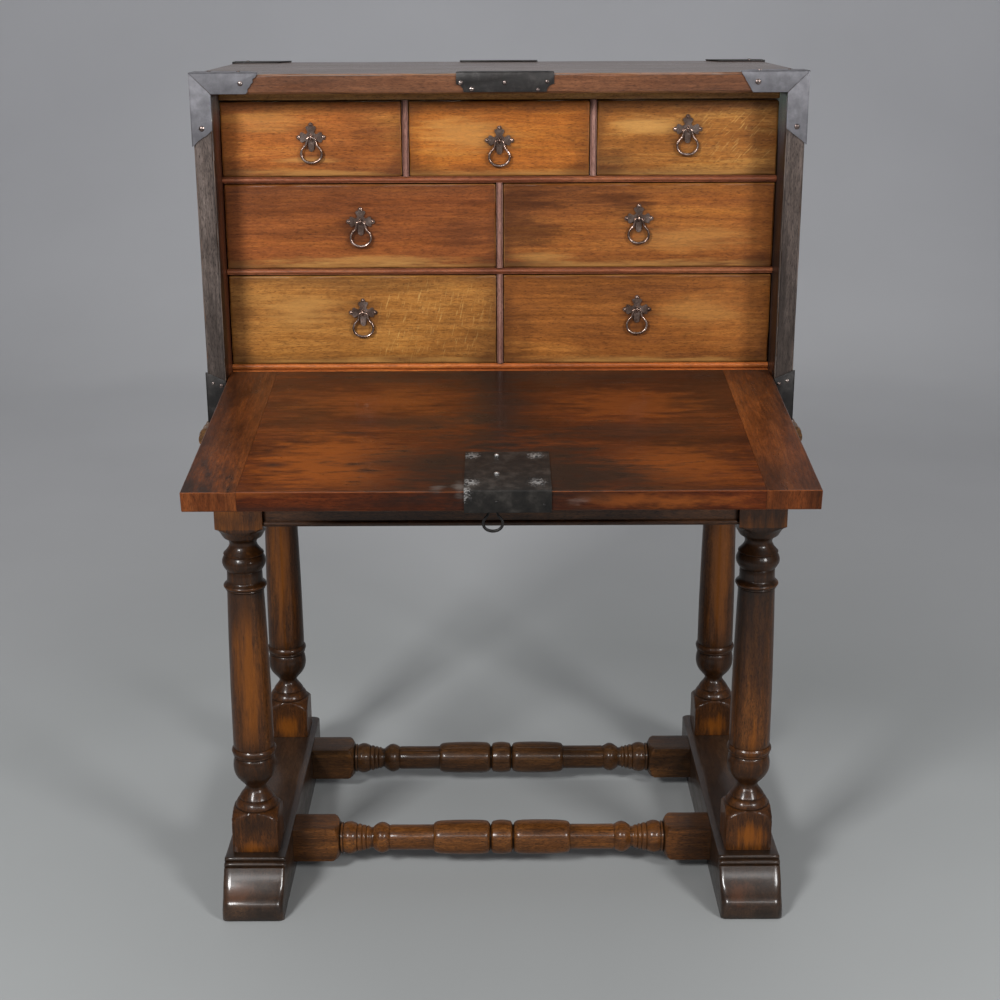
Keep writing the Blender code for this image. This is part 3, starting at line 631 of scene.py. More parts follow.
makeCamera()
makeStage()
makeLamps()
print("camera, floor and light placed")


# Finishes used on several pieces

# forged and waxed: brown-black with small sharp lights on rivets, nails and hinge pins
iron = makeIron("wroughtIronWaxed", {
    "tones": ("3b322f", "625652", "a2958f"), "rustColour": "46302a", "rough": 0.27, "blow": 7})
# rolled sheet worn by hands: even blue-grey with a soft sheen, on the top corners
plateIron = makeIron("sheetIronRubbed", {
    "tones": ("59585c", "656468", "727176"), "rustColour": "4b433f", "rough": 0.52, "rust": 0.3, "blow": 22,
    "bump": 0.25, "metal": 0.45, "shine": 0.4})
# sheet blackened over the fire: dull near black
blackIron = makeIron("sheetIronBlackened", {
    "tones": ("171514", "23201f", "383533"), "rustColour": "2a211d", "rough": 0.44, "rust": 0.3, "blow": 14,
    "metal": 0.5})
# drawer pulls that fingers keep clean: brown steel with bright edges
ringIron = makeIron("wroughtIronHandled", {
    "tones": ("56443c", "8b756a", "c2aca1"), "rustColour": "5a4036", "rough": 0.24, "rust": 0.25, "blow": 6})
# near black and dull: takes nearly all light, on the ring under the fall
nearBlackIron = makeIron("wroughtIronNearBlack", {
    "tones": ("0e0d0c", "151312", "211f1d"), "rustColour": "17120f", "rough": 0.45, "metal": 0.0,
    "shine": 0.2, "blow": 7})
# bare nail heads: the brightest iron on the desk
nailIron = makeIron("forgedNailBright", {
    "tones": ("8a8886", "aaa8a6", "cfcdcb"), "rustColour": "6a5a50", "rough": 0.28, "rust": 0.2, "blow": 4})

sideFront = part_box("case_side_left")[0].y
caseX = {"edge": 0.385, "inner": 0.372, "face": 0.374, "middle": 0.96}   # dark places on the case sides: a stain low on the front edges, painted shade at their inner corners
sideStainsAndShade, revealShade = [], []
# on each side a dark stain low on the front edge, and painted shade, nearly black, down its inner corner and
# on the inner face beside it
for side in (-1, 1):
    sideStainsAndShade += [((side * caseX["edge"], sideFront, 0.80), (0.05, 0.06, 0.24), 0.65),
                   ((side * caseX["inner"], sideFront, caseX["middle"]), (0.0075, 0.06, 0.6), 0.75)]
    revealShade.append(((side * caseX["face"], sideFront + 0.004, caseX["middle"]), (0.02, 0.030, 0.9), 0.95))
revealShade.append(((caseX["face"], sideFront + 0.02, caseX["middle"]), (0.02, 0.08, 0.9), 0.9))
# bare worn oak on the edges of the sides: grey, open pored, darker towards the bottom of the front edges, and
# nearly black with painted shade down their inner corners
caseLook = {"grain": "z", "tones": ("3a312d", "61554f", "857871"), "stain": "3d312a", "deep": "1f1815",
            "black": "1d1714", "rub": "8f847d", "rough": 0.46, "pores": 0.9, "cloud": 0.6, "dirtAndShade": 0.4,
            "bump": 0.8, "arris": 0.5, "lively": 0.45}
caseOak = makeOak("oakCaseWorn", dict(caseLook, stains=sideStainsAndShade))
# polished brown oak on the front edge of the top
topLook = {"grain": "x", "tones": ("4d2d1e", "6b432b", "85573a"), "stain": "46291c", "deep": "281810",
           "black": "241811", "rub": "8f6a48", "rough": 0.36, "wax": 0.4, "waxRough": 0.14, "cloud": 0.5,
           "dirtAndShade": 0.3, "arris": 0.4}
topOak = makeOak("oakTopPolished", topLook)
# inside of the case: red-brown on the left, dusty on the right, nearly black with painted shade at the front
# edge
innerLook = dict(topLook, grain="z", wax=0.1, stains=revealShade, black="1b1512")
innerOak = {"left": makeOak("oakCaseInside", dict(innerLook, tones=("391f15", "552f1e", "6c3f29"))),
            "right": makeOak("oakCaseInsideDusty", dict(innerLook, tones=("33241e", "4c3831", "63504a")))}
# upper face of the top: greyer and a little glossier than its front edge
roofOak = makeOak("oakTopGreyed", dict(topLook, tones=("40332c", "57473e", "6c5c52"), rough=0.30))
# outer faces of the sides: brown, duller than the top
sideOak = makeOak("oakSideGreyed", dict(topLook, grain="z", tones=("3f2c22", "593f31", "735443"), rough=0.36,
                                        pores=0.8, cloud=0.6, lively=0.34))
# sawn back boards, never polished
backOak = makeOak("oakBackSawn", dict(caseLook, grain="x", wax=0.02, rough=0.6,
                                      tones=("3a312d", "6a5645", "84705b")))

# waxed rails of the nest: red-brown, lit along the bead; dividers greyer and paler, partly a painted
# highlight on their beads, top rail pale, plinth redder
railLook = {"grain": "x", "tones": ("5b3222", "834b31", "a16641"), "stain": "54291a", "deep": "331a10",
            "black": "24130d", "rough": 0.34, "wax": 0.25, "grainWidth": 4, "cloud": 0.35, "dirtAndShade": 0.0}
railOak = makeOak("oakRailBeaded", railLook)
# dividers: greyer, paler tones that are partly a painted highlight on their beads
dividerOak = makeOak("oakDividerBeaded", dict(railLook, grain="z", tones=("5f3e34", "8a6459", "a6857a")))
topRailOak = makeOak("oakRailPale", dict(railLook, tones=("7b5126", "a1723b", "bd9254"), stain="7a5029"))

# turned and carved stand: dark oil-brown, black in the hollows with old polish and painted shade, sharp wax
# lights on the rings
standLook = {"tones": ("2a1706", "46260b", "653b13"), "stain": "1f1006", "deep": "120804", "black": "100a05",
             "rub": "80470a", "rough": 0.42, "shine": 0.14, "wax": 0.28, "waxRough": 0.14, "cloud": 0.75,
             "pores": 0.9, "dirtAndShade": 0.95, "bump": 0.4, "lively": 0.48, "arris": 0.35}


# Stand

# block is half the square at both ends; the profile goes up from the flare over the lower block:
# ball, ring, shaft, ring, bulb, bell
legSet = {
    "sides": 64, "block": 0.034, "corner": 0.0471, "chamfer": 0.001, "sharp": 28, "blockTop": 0.1270,
    "flare": 0.0172, "flareEnd": 0.0334, "upperBlock": (0.5838, 0.6200),
    "profile": [
        (144.6, 32.0), (145.0, 31.1), (145.6, 31.4), (146.6, 31.4), (149.0, 30.4), (152.5, 28.7),
        (155.2, 26.5), (156.4, 24.7), (157.1, 23.9), (157.8, 24.6), (159.0, 24.7), (163.0, 22.3),
        (168.0, 18.4), (172.0, 15.7), (174.5, 14.9), (176.5, 15.0), (179.0, 16.2), (182.8, 19.2),
        (187.0, 22.8), (190.5, 25.6), (194.0, 27.8), (198.0, 29.6), (202.0, 30.7), (206.5, 31.3),
        (211.0, 31.4), (215.5, 31.0), (219.5, 30.2), (222.5, 29.2), (224.3, 28.4), (225.0, 27.6),
        (225.6, 27.5), (226.2, 29.0), (226.8, 30.4), (228.0, 30.7), (229.0, 30.3), (229.4, 29.6),
        (229.7, 239.7, 30.8, 30.2, 2.0, 10), (240.1, 29.2), (240.5, 29.7),
        (240.7, 484.0, 29.8, 26.2, 0.9, 16), (484.5, 25.5), (485.0, 26.6), (485.6, 27.8), (486.6, 28.3),
        (487.6, 27.9), (488.0, 27.3), (488.3, 494.4, 28.8, 29.2, 1.8, 8), (495.3, 27.95), (496.2, 27.021),
        (497.1, 26.3), (498.0, 25.821), (498.9, 25.55), (499.8, 25.4), (506.0, 25.2), (514.0, 25.1),
        (514.6, 24.8), (515.0, 537.2, 25.8, 27.4, 4.4, 14), (537.5, 27.0), (537.9, 27.1), (538.3, 28.1),
        (539.0, 28.6), (539.8, 28.4), (540.2, 27.7), (540.6, 27.3), (542.0, 26.2), (544.2, 24.3),
        (546.6, 22.4), (549.0, 20.9), (551.4, 19.9), (553.8, 19.3), (556.2, 19.6), (558.6, 20.5),
        (560.6, 22.0), (562.2, 23.8), (563.2, 25.5), (563.8, 27.0), (564.4, 27.6), (566.0, 28.6),
        (568.5, 30.0), (571.2, 31.5), (574.0, 33.3), (576.8, 35.7), (579.2, 38.8), (581.2, 42.5)],
}


def legRings(low, high):
    corner, chamfer, blockTop = (legSet[k] for k in ("corner", "chamfer", "blockTop"))
    rings = [(low, corner - chamfer), (low + chamfer, corner), (blockTop, corner)]
    for i in range(1, 9):
        u = i / 8
        rings.append((blockTop + legSet["flare"] * u, corner - (corner - legSet["flareEnd"]) * u ** 1.5))
    rings += ringsOf(legSet["profile"]) + [(along, corner) for along in legSet["upperBlock"]]
    return rings + [(high - chamfer, corner), (high, corner - chamfer)]


def makeLegs():
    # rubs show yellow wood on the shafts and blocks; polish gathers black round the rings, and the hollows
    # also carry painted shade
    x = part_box("leg_front_right")[1].x - legSet["block"]
    rubs = [((-x, -0.060, 0.36), (0.026, 0.03, 0.13), 0.55),
            ((-x - 0.015, -0.066, 0.615), (0.030, 0.02, 0.03), 0.55),
            ((-x, -0.066, 0.09), (0.026, 0.02, 0.013), 0.5),
            ((x, -0.066, 0.105), (0.028, 0.02, 0.026), 0.7),
            ((x, -0.060, 0.25), (0.010, 0.03, 0.05), 0.5)]
    for side in (-1, 1):
        rubs += [((side * x, 0.325, 0.40), (0.025, 0.03, 0.22), 0.6),
                 ((side * x, 0.325, 0.10), (0.026, 0.02, 0.024), 0.6)]
    stains = [((0, 0, 0.530), (2, 2, 0.10), 0.6), ((0, 0, 0.20), (2, 2, 0.07), 0.6),
              ((x, -0.06, 0.42), (0.05, 0.05, 0.12), 0.45), ((-x, -0.066, 0.122), (0.05, 0.02, 0.022), 0.5)]
    legOak = makeOak("oakLegTurned", dict(standLook, grain="z", rubs=rubs, stains=stains))
    for n, name in enumerate(("leg_front_left", "leg_front_right", "leg_back_left", "leg_back_right")):
        low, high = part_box(name)
        centre = ((low.x + high.x) / 2, (low.y + high.y) / 2, 0)
        mesh = turnedMesh(name + "_turned", legRings(low.z, high.z), centre, 2, legSet["block"],
                          legSet["sides"], seed=3.1 * n)
        finishMesh(mesh, legOak, base, name, legSet["sharp"], slot="stand_oak")


# half of a stretcher from the middle out: bead, barrel, neck, ball, three fine rings, bead, collar
stretcherSet = {
    "sides": 56, "block": 0.027, "corner": 0.0373, "sharp": 28, "shoulder": (0.2490, 0.0250, 0.0110),
    "blockStart": 0.275,
    "profile": [
        (0.0, 13.5, 26.2, 24.3, 0.4, 5), (15.2, 22.5), (16.3, 19.6), (17.0, 18.4), (17.6, 18.4), (18.2, 19.7),
        (19.5, 22.2), (21.5, 24.0), (25.0, 25.3), (33.0, 26.0), (50.0, 26.3), (70.0, 26.2), (86.0, 25.7),
        (94.5, 25.1), (99.5, 24.3), (102.5, 23.0), (104.2, 21.2), (105.0, 19.7), (106.5, 19.4), (140.0, 19.2),
        (170.0, 19.4), (172.2, 18.7), (172.7, 18.4), (173.1, 197.2, 19.0, 17.2, 5.5, 12), (197.6, 16.0),
        (199.0, 15.7), (201.2, 15.7), (202.4, 16.2), (203.0, 208.2, 16.4, 17.2, 1.4, 6), (208.5, 15.8),
        (208.8, 214.6, 17.8, 18.6, 1.4, 6), (214.9, 17.2), (215.2, 222.2, 19.4, 20.2, 1.4, 6), (222.5, 18.8),
        (223.0, 242.8, 21.4, 22.6, 3.0, 12), (243.2, 21.2), (243.8, 21.2), (244.0, 247.8, 22.6, 23.0, 1.0, 5),
        (248.2, 22.1), (248.8, 23.2), (249.0, 25.0)],
    "looks": [{"tones": ("3a200c", "623a17", "865526"), "cloud": 0.55},
              {"tones": ("281809", "452a12", "60401f")}],
}


def stretcherRings(half):
    # the half profile, a rounded shoulder and the block, then the same mirrored
    corner, (start, radius, length) = stretcherSet["corner"], stretcherSet["shoulder"]
    out = ringsOf(stretcherSet["profile"])
    for i in range(1, 9):
        u = i / 8
        out.append((start + length * u, radius + (corner - radius) * math.sin(u * math.pi / 2)))
    out += [(stretcherSet["blockStart"], corner), (half, corner)]
    return [(-x, r) for x, r in reversed(out[1:])] + out


def makeStretchers():
    # the front one warm brown, the back one darker
    for n, name in enumerate(("stretcher_front", "stretcher_back")):
        low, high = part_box(name)
        centre = (0, (low.y + high.y) / 2, (low.z + high.z) / 2)
        mesh = turnedMesh(name + "_turned", stretcherRings(high.x), centre, 0, stretcherSet["block"],
                          stretcherSet["sides"], seed=8.7 + n)
        stains = [((side * high.x, centre[1], centre[2]), (0.085, 0.2, 0.2), 0.55) for side in (-1, 1)]
        look = dict(standLook, grain="x", shift=(n, n, n), stains=stains, **stretcherSet["looks"][n])
        stretcherOak = makeOak(f"oakStretcherTurned{n + 1}", look)
        finishMesh(mesh, stretcherOak, base, name, stretcherSet["sharp"], slot="stand_oak")


# steep and gentle are the slopes of the hollow in degrees; under is the toe's lower edge, back from the toe
# and up; the darkening fades out within grooveDark of a groove and floorDark of the floor; toeTop and toeFade
# say where the nose rounds, behind how far in front of the leg block that ends
footSet = {"flat": 0.016, "step": 0.006, "nose": 0.023, "noseUp": 0.0155, "steep": 60, "gentle": 36,
           "round": 0.012, "under": [(0.0004, 0.010), (0.0014, 0.005), (0.003, 0.0018), (0.006, 0.0)],
           "grooveDark": 0.003, "floorDark": 0.02, "toeTop": 0.048, "toeFade": 0.016, "behind": 0.004,
           "sharp": 30}


def footOutline(low, high, face):
    # heel, two reeds in front of the leg block, a hollow that leaves them steeply, a round nose
    tall, step, nose = high.z, footSet["step"], footSet["nose"]
    shoulder, reed = face - footSet["flat"], footSet["step"] / 2
    line = [(high.y, 0.0), (high.y, tall), (face, tall), (shoulder + reed + 0.0008, tall)]
    for centreY, centreZ in ((shoulder + reed, tall - reed), (shoulder - reed, tall - step - reed)):
        for i in range(11):
            angle = math.pi * (0.5 + i / 10)
            line.append((centreY + reed * math.cos(angle), centreZ + reed * math.sin(angle)))
    startY, startZ = shoulder - 1.3 * step, tall - 2.1 * step
    steep, gentle = (math.tan(math.radians(footSet[k])) for k in ("steep", "gentle"))
    toe, lean = low.y, math.radians(90 - footSet["gentle"])
    up = footSet["noseUp"]
    run, drop = startY - toe - nose * (1 - math.cos(lean)), startZ - up - nose * math.sin(lean)
    knee = (drop - run * gentle) / (steep - gentle)
    for i in range(21):
        u = i / 20
        bend = 2 * u * (1 - u) * knee
        line.append((startY - bend - u * u * run, startZ - bend * steep - u * u * drop))
    for i in range(1, 13):
        angle = lean * (1 - i / 12)
        line.append((toe + nose * (1 - math.cos(angle)), up + nose * math.sin(angle)))
    return line + [(toe + back, z) for back, z in footSet["under"]]


def footMesh(name, outline, left, right, face):
    # the outline swept across, drawn back near both sides so that the carved edges are rounded
    soft = footSet["round"]
    shares = (0, 0.04, 0.12, 0.26, 0.45, 0.7, 1)
    cuts = [(left + soft * t, t) for t in shares] + [(right - soft * t, t) for t in reversed(shares)]
    verts, dirtAndShade = [], []
    tall, step = max(z for y, z in outline), footSet["step"]
    shoulder = face - footSet["flat"]
    grooves = [Vector((shoulder - step * k, tall - step * (1 + k))) for k in (0, 1)]
    for x, t in cuts:
        back = soft * (1 - math.sqrt(1 - (1 - t) ** 2))
        for y, z in outline:
            # darker in the reed grooves and near the floor
            near = min((Vector((y, z)) - groove).length for groove in grooves)
            dirtAndShade.append(max(0.8 - near / footSet["grooveDark"], 0.7 - z / footSet["floorDark"], 0.0))
            if y < face - footSet["behind"]:
                low = min(max((footSet["toeTop"] - z) / footSet["toeFade"], 0.0), 1.0)
                draw = back * (0.4 + 0.6 * low)
                verts.append((x, y + 0.8 * draw, max(z - 0.6 * draw, 0.0)))
            else:
                verts.append((x, y, max(z - 0.35 * back, 0.0)))
    mesh = meshFrom(name, verts, tubeFaces(len(cuts), len(outline)))
    setLayers(mesh, dirtAndShade, [0.0] * len(verts))
    return mesh


def makeFeet():
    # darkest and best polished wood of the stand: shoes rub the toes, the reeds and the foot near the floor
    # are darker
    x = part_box("leg_front_right")[1].x - legSet["block"]
    rubs = [((side * x - 0.02, -0.115, 0.040), (0.030, 0.05, 0.016), 0.5) for side in (-1, 1)]
    stains = [((side * x, -0.07, 0.081), (0.2, 0.014, 0.010), 0.6) for side in (-1, 1)]
    stains += [((side * x + 0.02, -0.12, 0.012), (0.035, 0.05, 0.014), 0.6) for side in (-1, 1)]
    footOak = makeOak("oakFootCarved", dict(
        standLook, grain="y", tones=("22160e", "372416", "4f3723"), stain="190f09", shine=0.20, wax=0.55,
        waxRough=0.16, cloud=0.85, torn=(41.67, 16.67), rubs=rubs, rub="57331d", stains=stains))
    for side in ("left", "right"):
        name = "foot_" + side
        low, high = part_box(name)
        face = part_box("leg_front_" + side)[0].y
        mesh = footMesh(name + "_carved", footOutline(low, high, face), low.x, high.x, face)
        finishMesh(mesh, footOak, base, name, footSet["sharp"], slot="stand_oak")


# letIn takes the end rails a little into the leg blocks, so that no light shows through the joint
railSet = {"bead": 0.0035, "beadUp": 0.0012, "soft": 0.0015, "frontSoft": 0.0010, "endSoft": 0.0006,
           "letIn": 0.001, "wall": 0.024, "ledge": 0.020, "tones": ("2f1d12", "472c19", "624023")}
armPlay = {"side": 0.0006, "under": 0.0003}          # room round the sliding arms


def makeStandRails():
    # plain boards in the shade of the fall, nearly black
    railBoard = makeOak("oakStandRail", dict(standLook, grain="x", tones=railSet["tones"]))
    endBoard = makeOak("oakStandRailEnd", dict(standLook, grain="y", tones=railSet["tones"]))
    low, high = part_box("stand_rail_front")
    armLow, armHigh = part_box("loper_right")
    notchIn, notchOut = armLow.x - armPlay["side"], min(armHigh.x + armPlay["side"], high.x)
    notchZ = armLow.z - armPlay["under"]
    line = [(low.x, low.z), (high.x, low.z)]
    line += [(notchOut, notchZ), (notchIn, notchZ), (notchIn, high.z)]
    line += [(-notchIn, high.z), (-notchIn, notchZ), (-notchOut, notchZ)]
    mesh = slabMesh("stand_rail_front_board", line, 1, low.y, high.y, railSet["frontSoft"])
    finishMesh(mesh, railBoard, base, "stand_rail_front", slot="stand_oak")
    mesh = boardMesh("stand_rail_back_board", *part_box("stand_rail_back"), railSet["soft"], seed=2.0)
    finishMesh(mesh, railBoard, base, "stand_rail_back", slot="stand_oak")
    bead = railSet["bead"]
    for name, sign in (("stand_rail_front", -1), ("stand_rail_back", 1)):
        low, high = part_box(name)
        face = low.y if sign < 0 else high.y
        line = []
        for i in range(11):
            angle = math.pi * i / 10
            line.append((face + sign * bead * math.sin(angle),
                         low.z + railSet["beadUp"] + bead * (1 - math.cos(angle))))
        mesh = slabMesh(name + "_bead", line, 0, low.x, high.x, 0)
        finishMesh(mesh, railBoard, base, slot="stand_oak")
    for side, sign in (("left", -1), ("right", 1)):
        name = "stand_rail_" + side
        low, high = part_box(name)
        outer, ledge = (high.x, low.x) if sign > 0 else (low.x, high.x)
        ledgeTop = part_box("loper_" + side)[0].z - armPlay["under"]
        ledgeLow, wall = ledgeTop - railSet["ledge"], outer - sign * railSet["wall"]
        line = [(outer, low.z), (outer, high.z), (wall, high.z), (wall, ledgeTop), (ledge, ledgeTop),
                (ledge, ledgeLow), (wall, ledgeLow), (wall, low.z)]
        mesh = slabMesh(name + "_board", line, 1, low.y - railSet["letIn"], high.y + railSet["letIn"],
                        railSet["endSoft"])
        finishMesh(mesh, endBoard, base, name, slot="stand_oak")


# lay is how far a strand runs along while it goes round, depth and full shape the groove between strands
ropeSet = {"pitch": 0.024, "lay": 1.1, "depth": 0.20, "full": 0.6, "flatten": 0.14, "around": 14,
           "perPitch": 10, "sharp": 50}


def makeMouldings():
    # half-round moulding carved as a rope, planted on the outer faces of the leg blocks; paler than the rest
    # of the stand
    ropeOak = makeOak("oakMouldingCarved", dict(standLook, grain="y", tones=("3a2514", "5e3f20", "876034")))
    for side, sign in (("left", -1), ("right", 1)):
        name = "stand_moulding_" + side
        low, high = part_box(name)
        face = low.x if sign > 0 else high.x
        rise, out = (high.z - low.z) / 2, high.x - low.x
        middle = (low.z + high.z) / 2
        count = round((high.y - low.y) / ropeSet["pitch"] * ropeSet["perPitch"])
        verts, row = [], ropeSet["around"] + 1
        for i in range(count + 1):
            y = low.y + (high.y - low.y) * i / count
            for j in range(row):
                turn = j / ropeSet["around"]
                angle = math.pi * (turn - 0.5)
                strand = math.pi * (y / ropeSet["pitch"] + ropeSet["lay"] * turn)
                swell = 1 - ropeSet["depth"] * (1 - abs(math.sin(strand)) ** ropeSet["full"])
                lift = 1 - ropeSet["flatten"] * (1 - swell)
                verts.append((face + sign * out * math.cos(angle) * swell, y,
                              middle + rise * math.sin(angle) * lift))
        mesh = meshFrom(name + "_rope", verts, tubeFaces(count + 1, row))
        finishMesh(mesh, ropeOak, base, name, ropeSet["sharp"], slot="stand_oak")


loperSet = {"knob": 0.009, "neck": 0.0055, "soft": 0.002, "neckStart": 0.0148, "collar": (0.0085, 0.0088),
            "sides": 32}


def makeLopers():
    # planed arms that slide in the stand, lighter than its rails
    armOak = makeOak("oakArmPlaned", dict(standLook, grain="y", tones=("2a1706", "60401f", "7c572f")))
    knob, neck = loperSet["knob"], loperSet["neck"]
    length = knob * 2
    rings = [(0.0, 0.001)]
    for i in range(1, 11):
        angle = math.pi * 0.80 * i / 10
        rings.append((knob * 0.75 * (1 - math.cos(angle)), knob * math.sin(angle)))
    rings += [(loperSet["neckStart"], neck), (length - 0.003, neck), (length - 0.002, loperSet["collar"][0]),
              (length + 0.001, loperSet["collar"][1])]
    for side in ("left", "right"):
        name = "loper_" + side
        low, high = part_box(name)
        mesh = boardMesh(name + "_bar", (low.x, low.y + length, low.z), high, loperSet["soft"], seed=5.0)
        finishMesh(mesh, armOak, side + "_loper", name, slot="stand_oak")
        centre = ((low.x + high.x) / 2, low.y, (low.z + high.z) / 2)
        mesh = turnedMesh(name + "_knob", rings, centre, 1, None, loperSet["sides"])
        finishMesh(mesh, armOak, side + "_loper", slot="stand_oak")


makeLegs()
makeStretchers()
makeFeet()
makeStandRails()
makeMouldings()
makeLopers()
print("stand made")


# Case

# softness of the edges, wear of the edges, waves of the faces and mesh cell of each board; pinStart and
# pinHead are places from the inner and outer end of a forged hinge pin, with its radius there
caseSet = {
    "top": (0.0028, 0.8, 0.0002), "bottom": (0.0025, 0.6), "side": (0.0026, 0.9, 0.0003, 0.02),
    "plank": (0.0018, 0.7, 0.0003), "planks": 3, "gap": 0.0006, "pinSides": 24,
    "pinStart": [(0.0, 0.0034), (0.001, 0.0039)],
    "pinHead": [(0.0021, 0.0039), (0.0020, 0.0075), (0.0012, 0.0079), (0.0004, 0.0068), (0.0, 0.0035)],
}


def makeCase():
    mesh = boardMesh("case_top_board", *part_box("case_top"), *caseSet["top"], seed=1.0)
    finishMesh(mesh, topOak, base, "case_top", slot="case_oak")
    refinish(mesh, roofOak, 2, 1)
    mesh = boardMesh("case_bottom_board", *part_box("case_bottom"), *caseSet["bottom"], seed=4.0)
    finishMesh(mesh, topOak, base, "case_bottom", slot="case_oak")
    for side, sign in (("left", -1), ("right", 1)):
        name = "case_side_" + side
        mesh = boardMesh(name + "_board", *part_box(name), *caseSet["side"], seed=len(side) * 1.7)
        finishMesh(mesh, caseOak, base, name, slot="case_oak")
        refinish(mesh, innerOak[side], 0, -sign)
        refinish(mesh, sideOak, 0, sign)
        pin = "hinge_pin_" + side
        low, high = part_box(pin)
        centre = (0, (low.y + high.y) / 2, (low.z + high.z) / 2)
        start, end = (low.x, high.x) if sign > 0 else (high.x, low.x)
        rings = [(start + sign * along, radius) for along, radius in caseSet["pinStart"]]
        rings += [(end - sign * along, radius) for along, radius in caseSet["pinHead"]]
        mesh = turnedMesh(pin + "_forged", rings, centre, 0, None, caseSet["pinSides"])
        finishMesh(mesh, iron, base, pin, slot="wrought_iron")
    low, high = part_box("case_back")
    tall = (high.z - low.z) / caseSet["planks"]
    for n in range(caseSet["planks"]):
        top = low.z + (n + 1) * tall - caseSet["gap"]
        mesh = boardMesh(f"case_back_plank{n + 1}", (low.x, low.y, low.z + n * tall), (high.x, high.y, top),
                         *caseSet["plank"], seed=9.0 + n)
        finishMesh(mesh, backOak, base, "case_back" if n == 0 else None, slot="case_oak")


# sharp is the angle in degrees past which an edge shows
nestSet = {"proud": 0.0022, "share": 0.74, "quirk": 0.0012, "sharp": 40, "railSoft": 0.0016,
           "plinthBead": 0.0040, "plinthFoot": 0.018, "plinthShelf": 0.009}


def beadFront(front, low, high, deep):
    # outline of a shelf or divider edge: one bead between two narrow quirks, then the board behind
    middle, radius = (low + high) / 2, (high - low) / 2 * nestSet["share"]
    nose = front - nestSet["proud"]
    step = nose + radius + 0.0006
    inset = step - nestSet["quirk"]
    line = [(deep, low), (deep, high), (inset, high), (inset, middle + radius + 0.0004),
            (step, middle + radius)]
    for i in range(1, 14):
        angle = math.pi / 2 + math.pi * i / 14
        line.append((nose + radius + radius * math.cos(angle), middle + radius * math.sin(angle)))
    line += [(step, middle - radius), (inset, middle - radius - 0.0004), (inset, low)]
    return line


def makeNest():
    for name in ("nest_shelf_upper", "nest_shelf_lower"):
        low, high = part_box(name)
        line = beadFront(low.y, low.z, high.z, high.y)
        mesh = slabMesh(name + "_beaded", line, 0, low.x, high.x, 0)
        finishMesh(mesh, railOak, base, name, nestSet["sharp"], slot="nest_oak")
    for name in ("divider_top_left", "divider_top_right", "divider_middle", "divider_lower"):
        low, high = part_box(name)
        line = [(b, a) for a, b in beadFront(low.y, low.x, high.x, high.y)]
        mesh = slabMesh(name + "_beaded", line, 2, low.z, high.z, 0)
        finishMesh(mesh, dividerOak, base, name, nestSet["sharp"], slot="nest_oak")
    mesh = boardMesh("nest_top_rail_board", *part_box("nest_top_rail"), nestSet["railSoft"], 0.5, seed=6.0)
    finishMesh(mesh, topRailOak, base, "nest_top_rail", slot="nest_oak")
    low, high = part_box("nest_plinth")
    bead, foot = nestSet["plinthBead"], low.y + nestSet["plinthFoot"]
    shelf = high.z - nestSet["plinthShelf"]
    line = [(low.y, low.z), (foot, low.z), (foot, shelf), (high.y, shelf), (high.y, high.z),
            (low.y + bead, high.z)]
    for i in range(1, 9):
        angle = math.pi / 2 + math.pi * i / 8
        line.append((low.y + bead + bead * math.cos(angle), high.z - bead + bead * math.sin(angle)))
    line += [(low.y + bead, high.z - 2 * bead - 0.0008), (low.y, high.z - 2 * bead - 0.0012)]
    plinthOak = makeOak("oakPlinthBeaded", dict(railLook, tones=("7a3c1e", "a95c2b", "c87c3d")))
    mesh = slabMesh("nest_plinth_beaded", line, 0, low.x, high.x, 0)
    finishMesh(mesh, plinthOak, base, "nest_plinth", nestSet["sharp"], slot="nest_oak")


makeCase()
makeNest()
print("case and nest made")


# Drawers

pullPlaces = {}
for name in frame["nodes"]:
    if name.startswith("pull_ring_"):
        cell = name[len("pull_ring_"):]
        pullPlaces[cell] = Vector(joints[cell + "_ring_swing"]["pos_m"])

# softness of the edges, wear, waves of the faces and mesh cell of the boards; thickness of the box
drawerSet = {"frontBoard": (0.0022, 0.7, 0.0002, 0.02), "boxBoard": (0.0012, 0.4, 0.0001, 0.05),
             "front": 0.018, "side": 0.009, "bottom": 0.007}
# drawer fronts: honey to chestnut, waxed by hand, dark round pulls, dark in the lower corners and near the
# edges with dirt and painted shade, pale along the foot
frontLook = {"grain": "x", "lively": 0.27, "stain": "5c3015", "deep": "43230c", "black": "34190c",
             "ray": "d3a862", "rub": "c08f4f", "rough": 0.36, "wax": 0.2, "cloud": 0.45, "pores": 0.65,
             "dirtAndShade": 0.5, "arris": 0.3}
drawerLooks = {
    "top_left": {"tones": ("74401a", "9c5924", "bb7d38"), "shift": (0.3, 0.1, 0.2)},
    "top_centre": {"tones": ("7a4317", "a25d1f", "be7f34"), "shift": (1.7, 0.4, 0.9)},
    "top_right": {"tones": ("6a3f15", "8e5823", "b08040"), "shift": (2.2, 0.7, 0.3), "rays": 0.42,
                  "rayTurn": 0.85, "rayHalf": (0.55, 0.15)},
    "middle_left": {"tones": ("633317", "8b4d22", "a8662d"), "shift": (3.9, 0.2, 0.6)},
    "middle_right": {"tones": ("5c3315", "864d1f", "a5692d"), "shift": (4.4, 0.8, 0.1)},
    "lower_left": {"tones": ("71451b", "95612a", "b68141"), "shift": (5.1, 0.5, 0.7), "rays": 0.42,
                   "rayHalf": (0.45, 0.0)},
    "lower_right": {"tones": ("643815", "8d5422", "ad7234"), "shift": (6.6, 0.3, 0.4)},
}
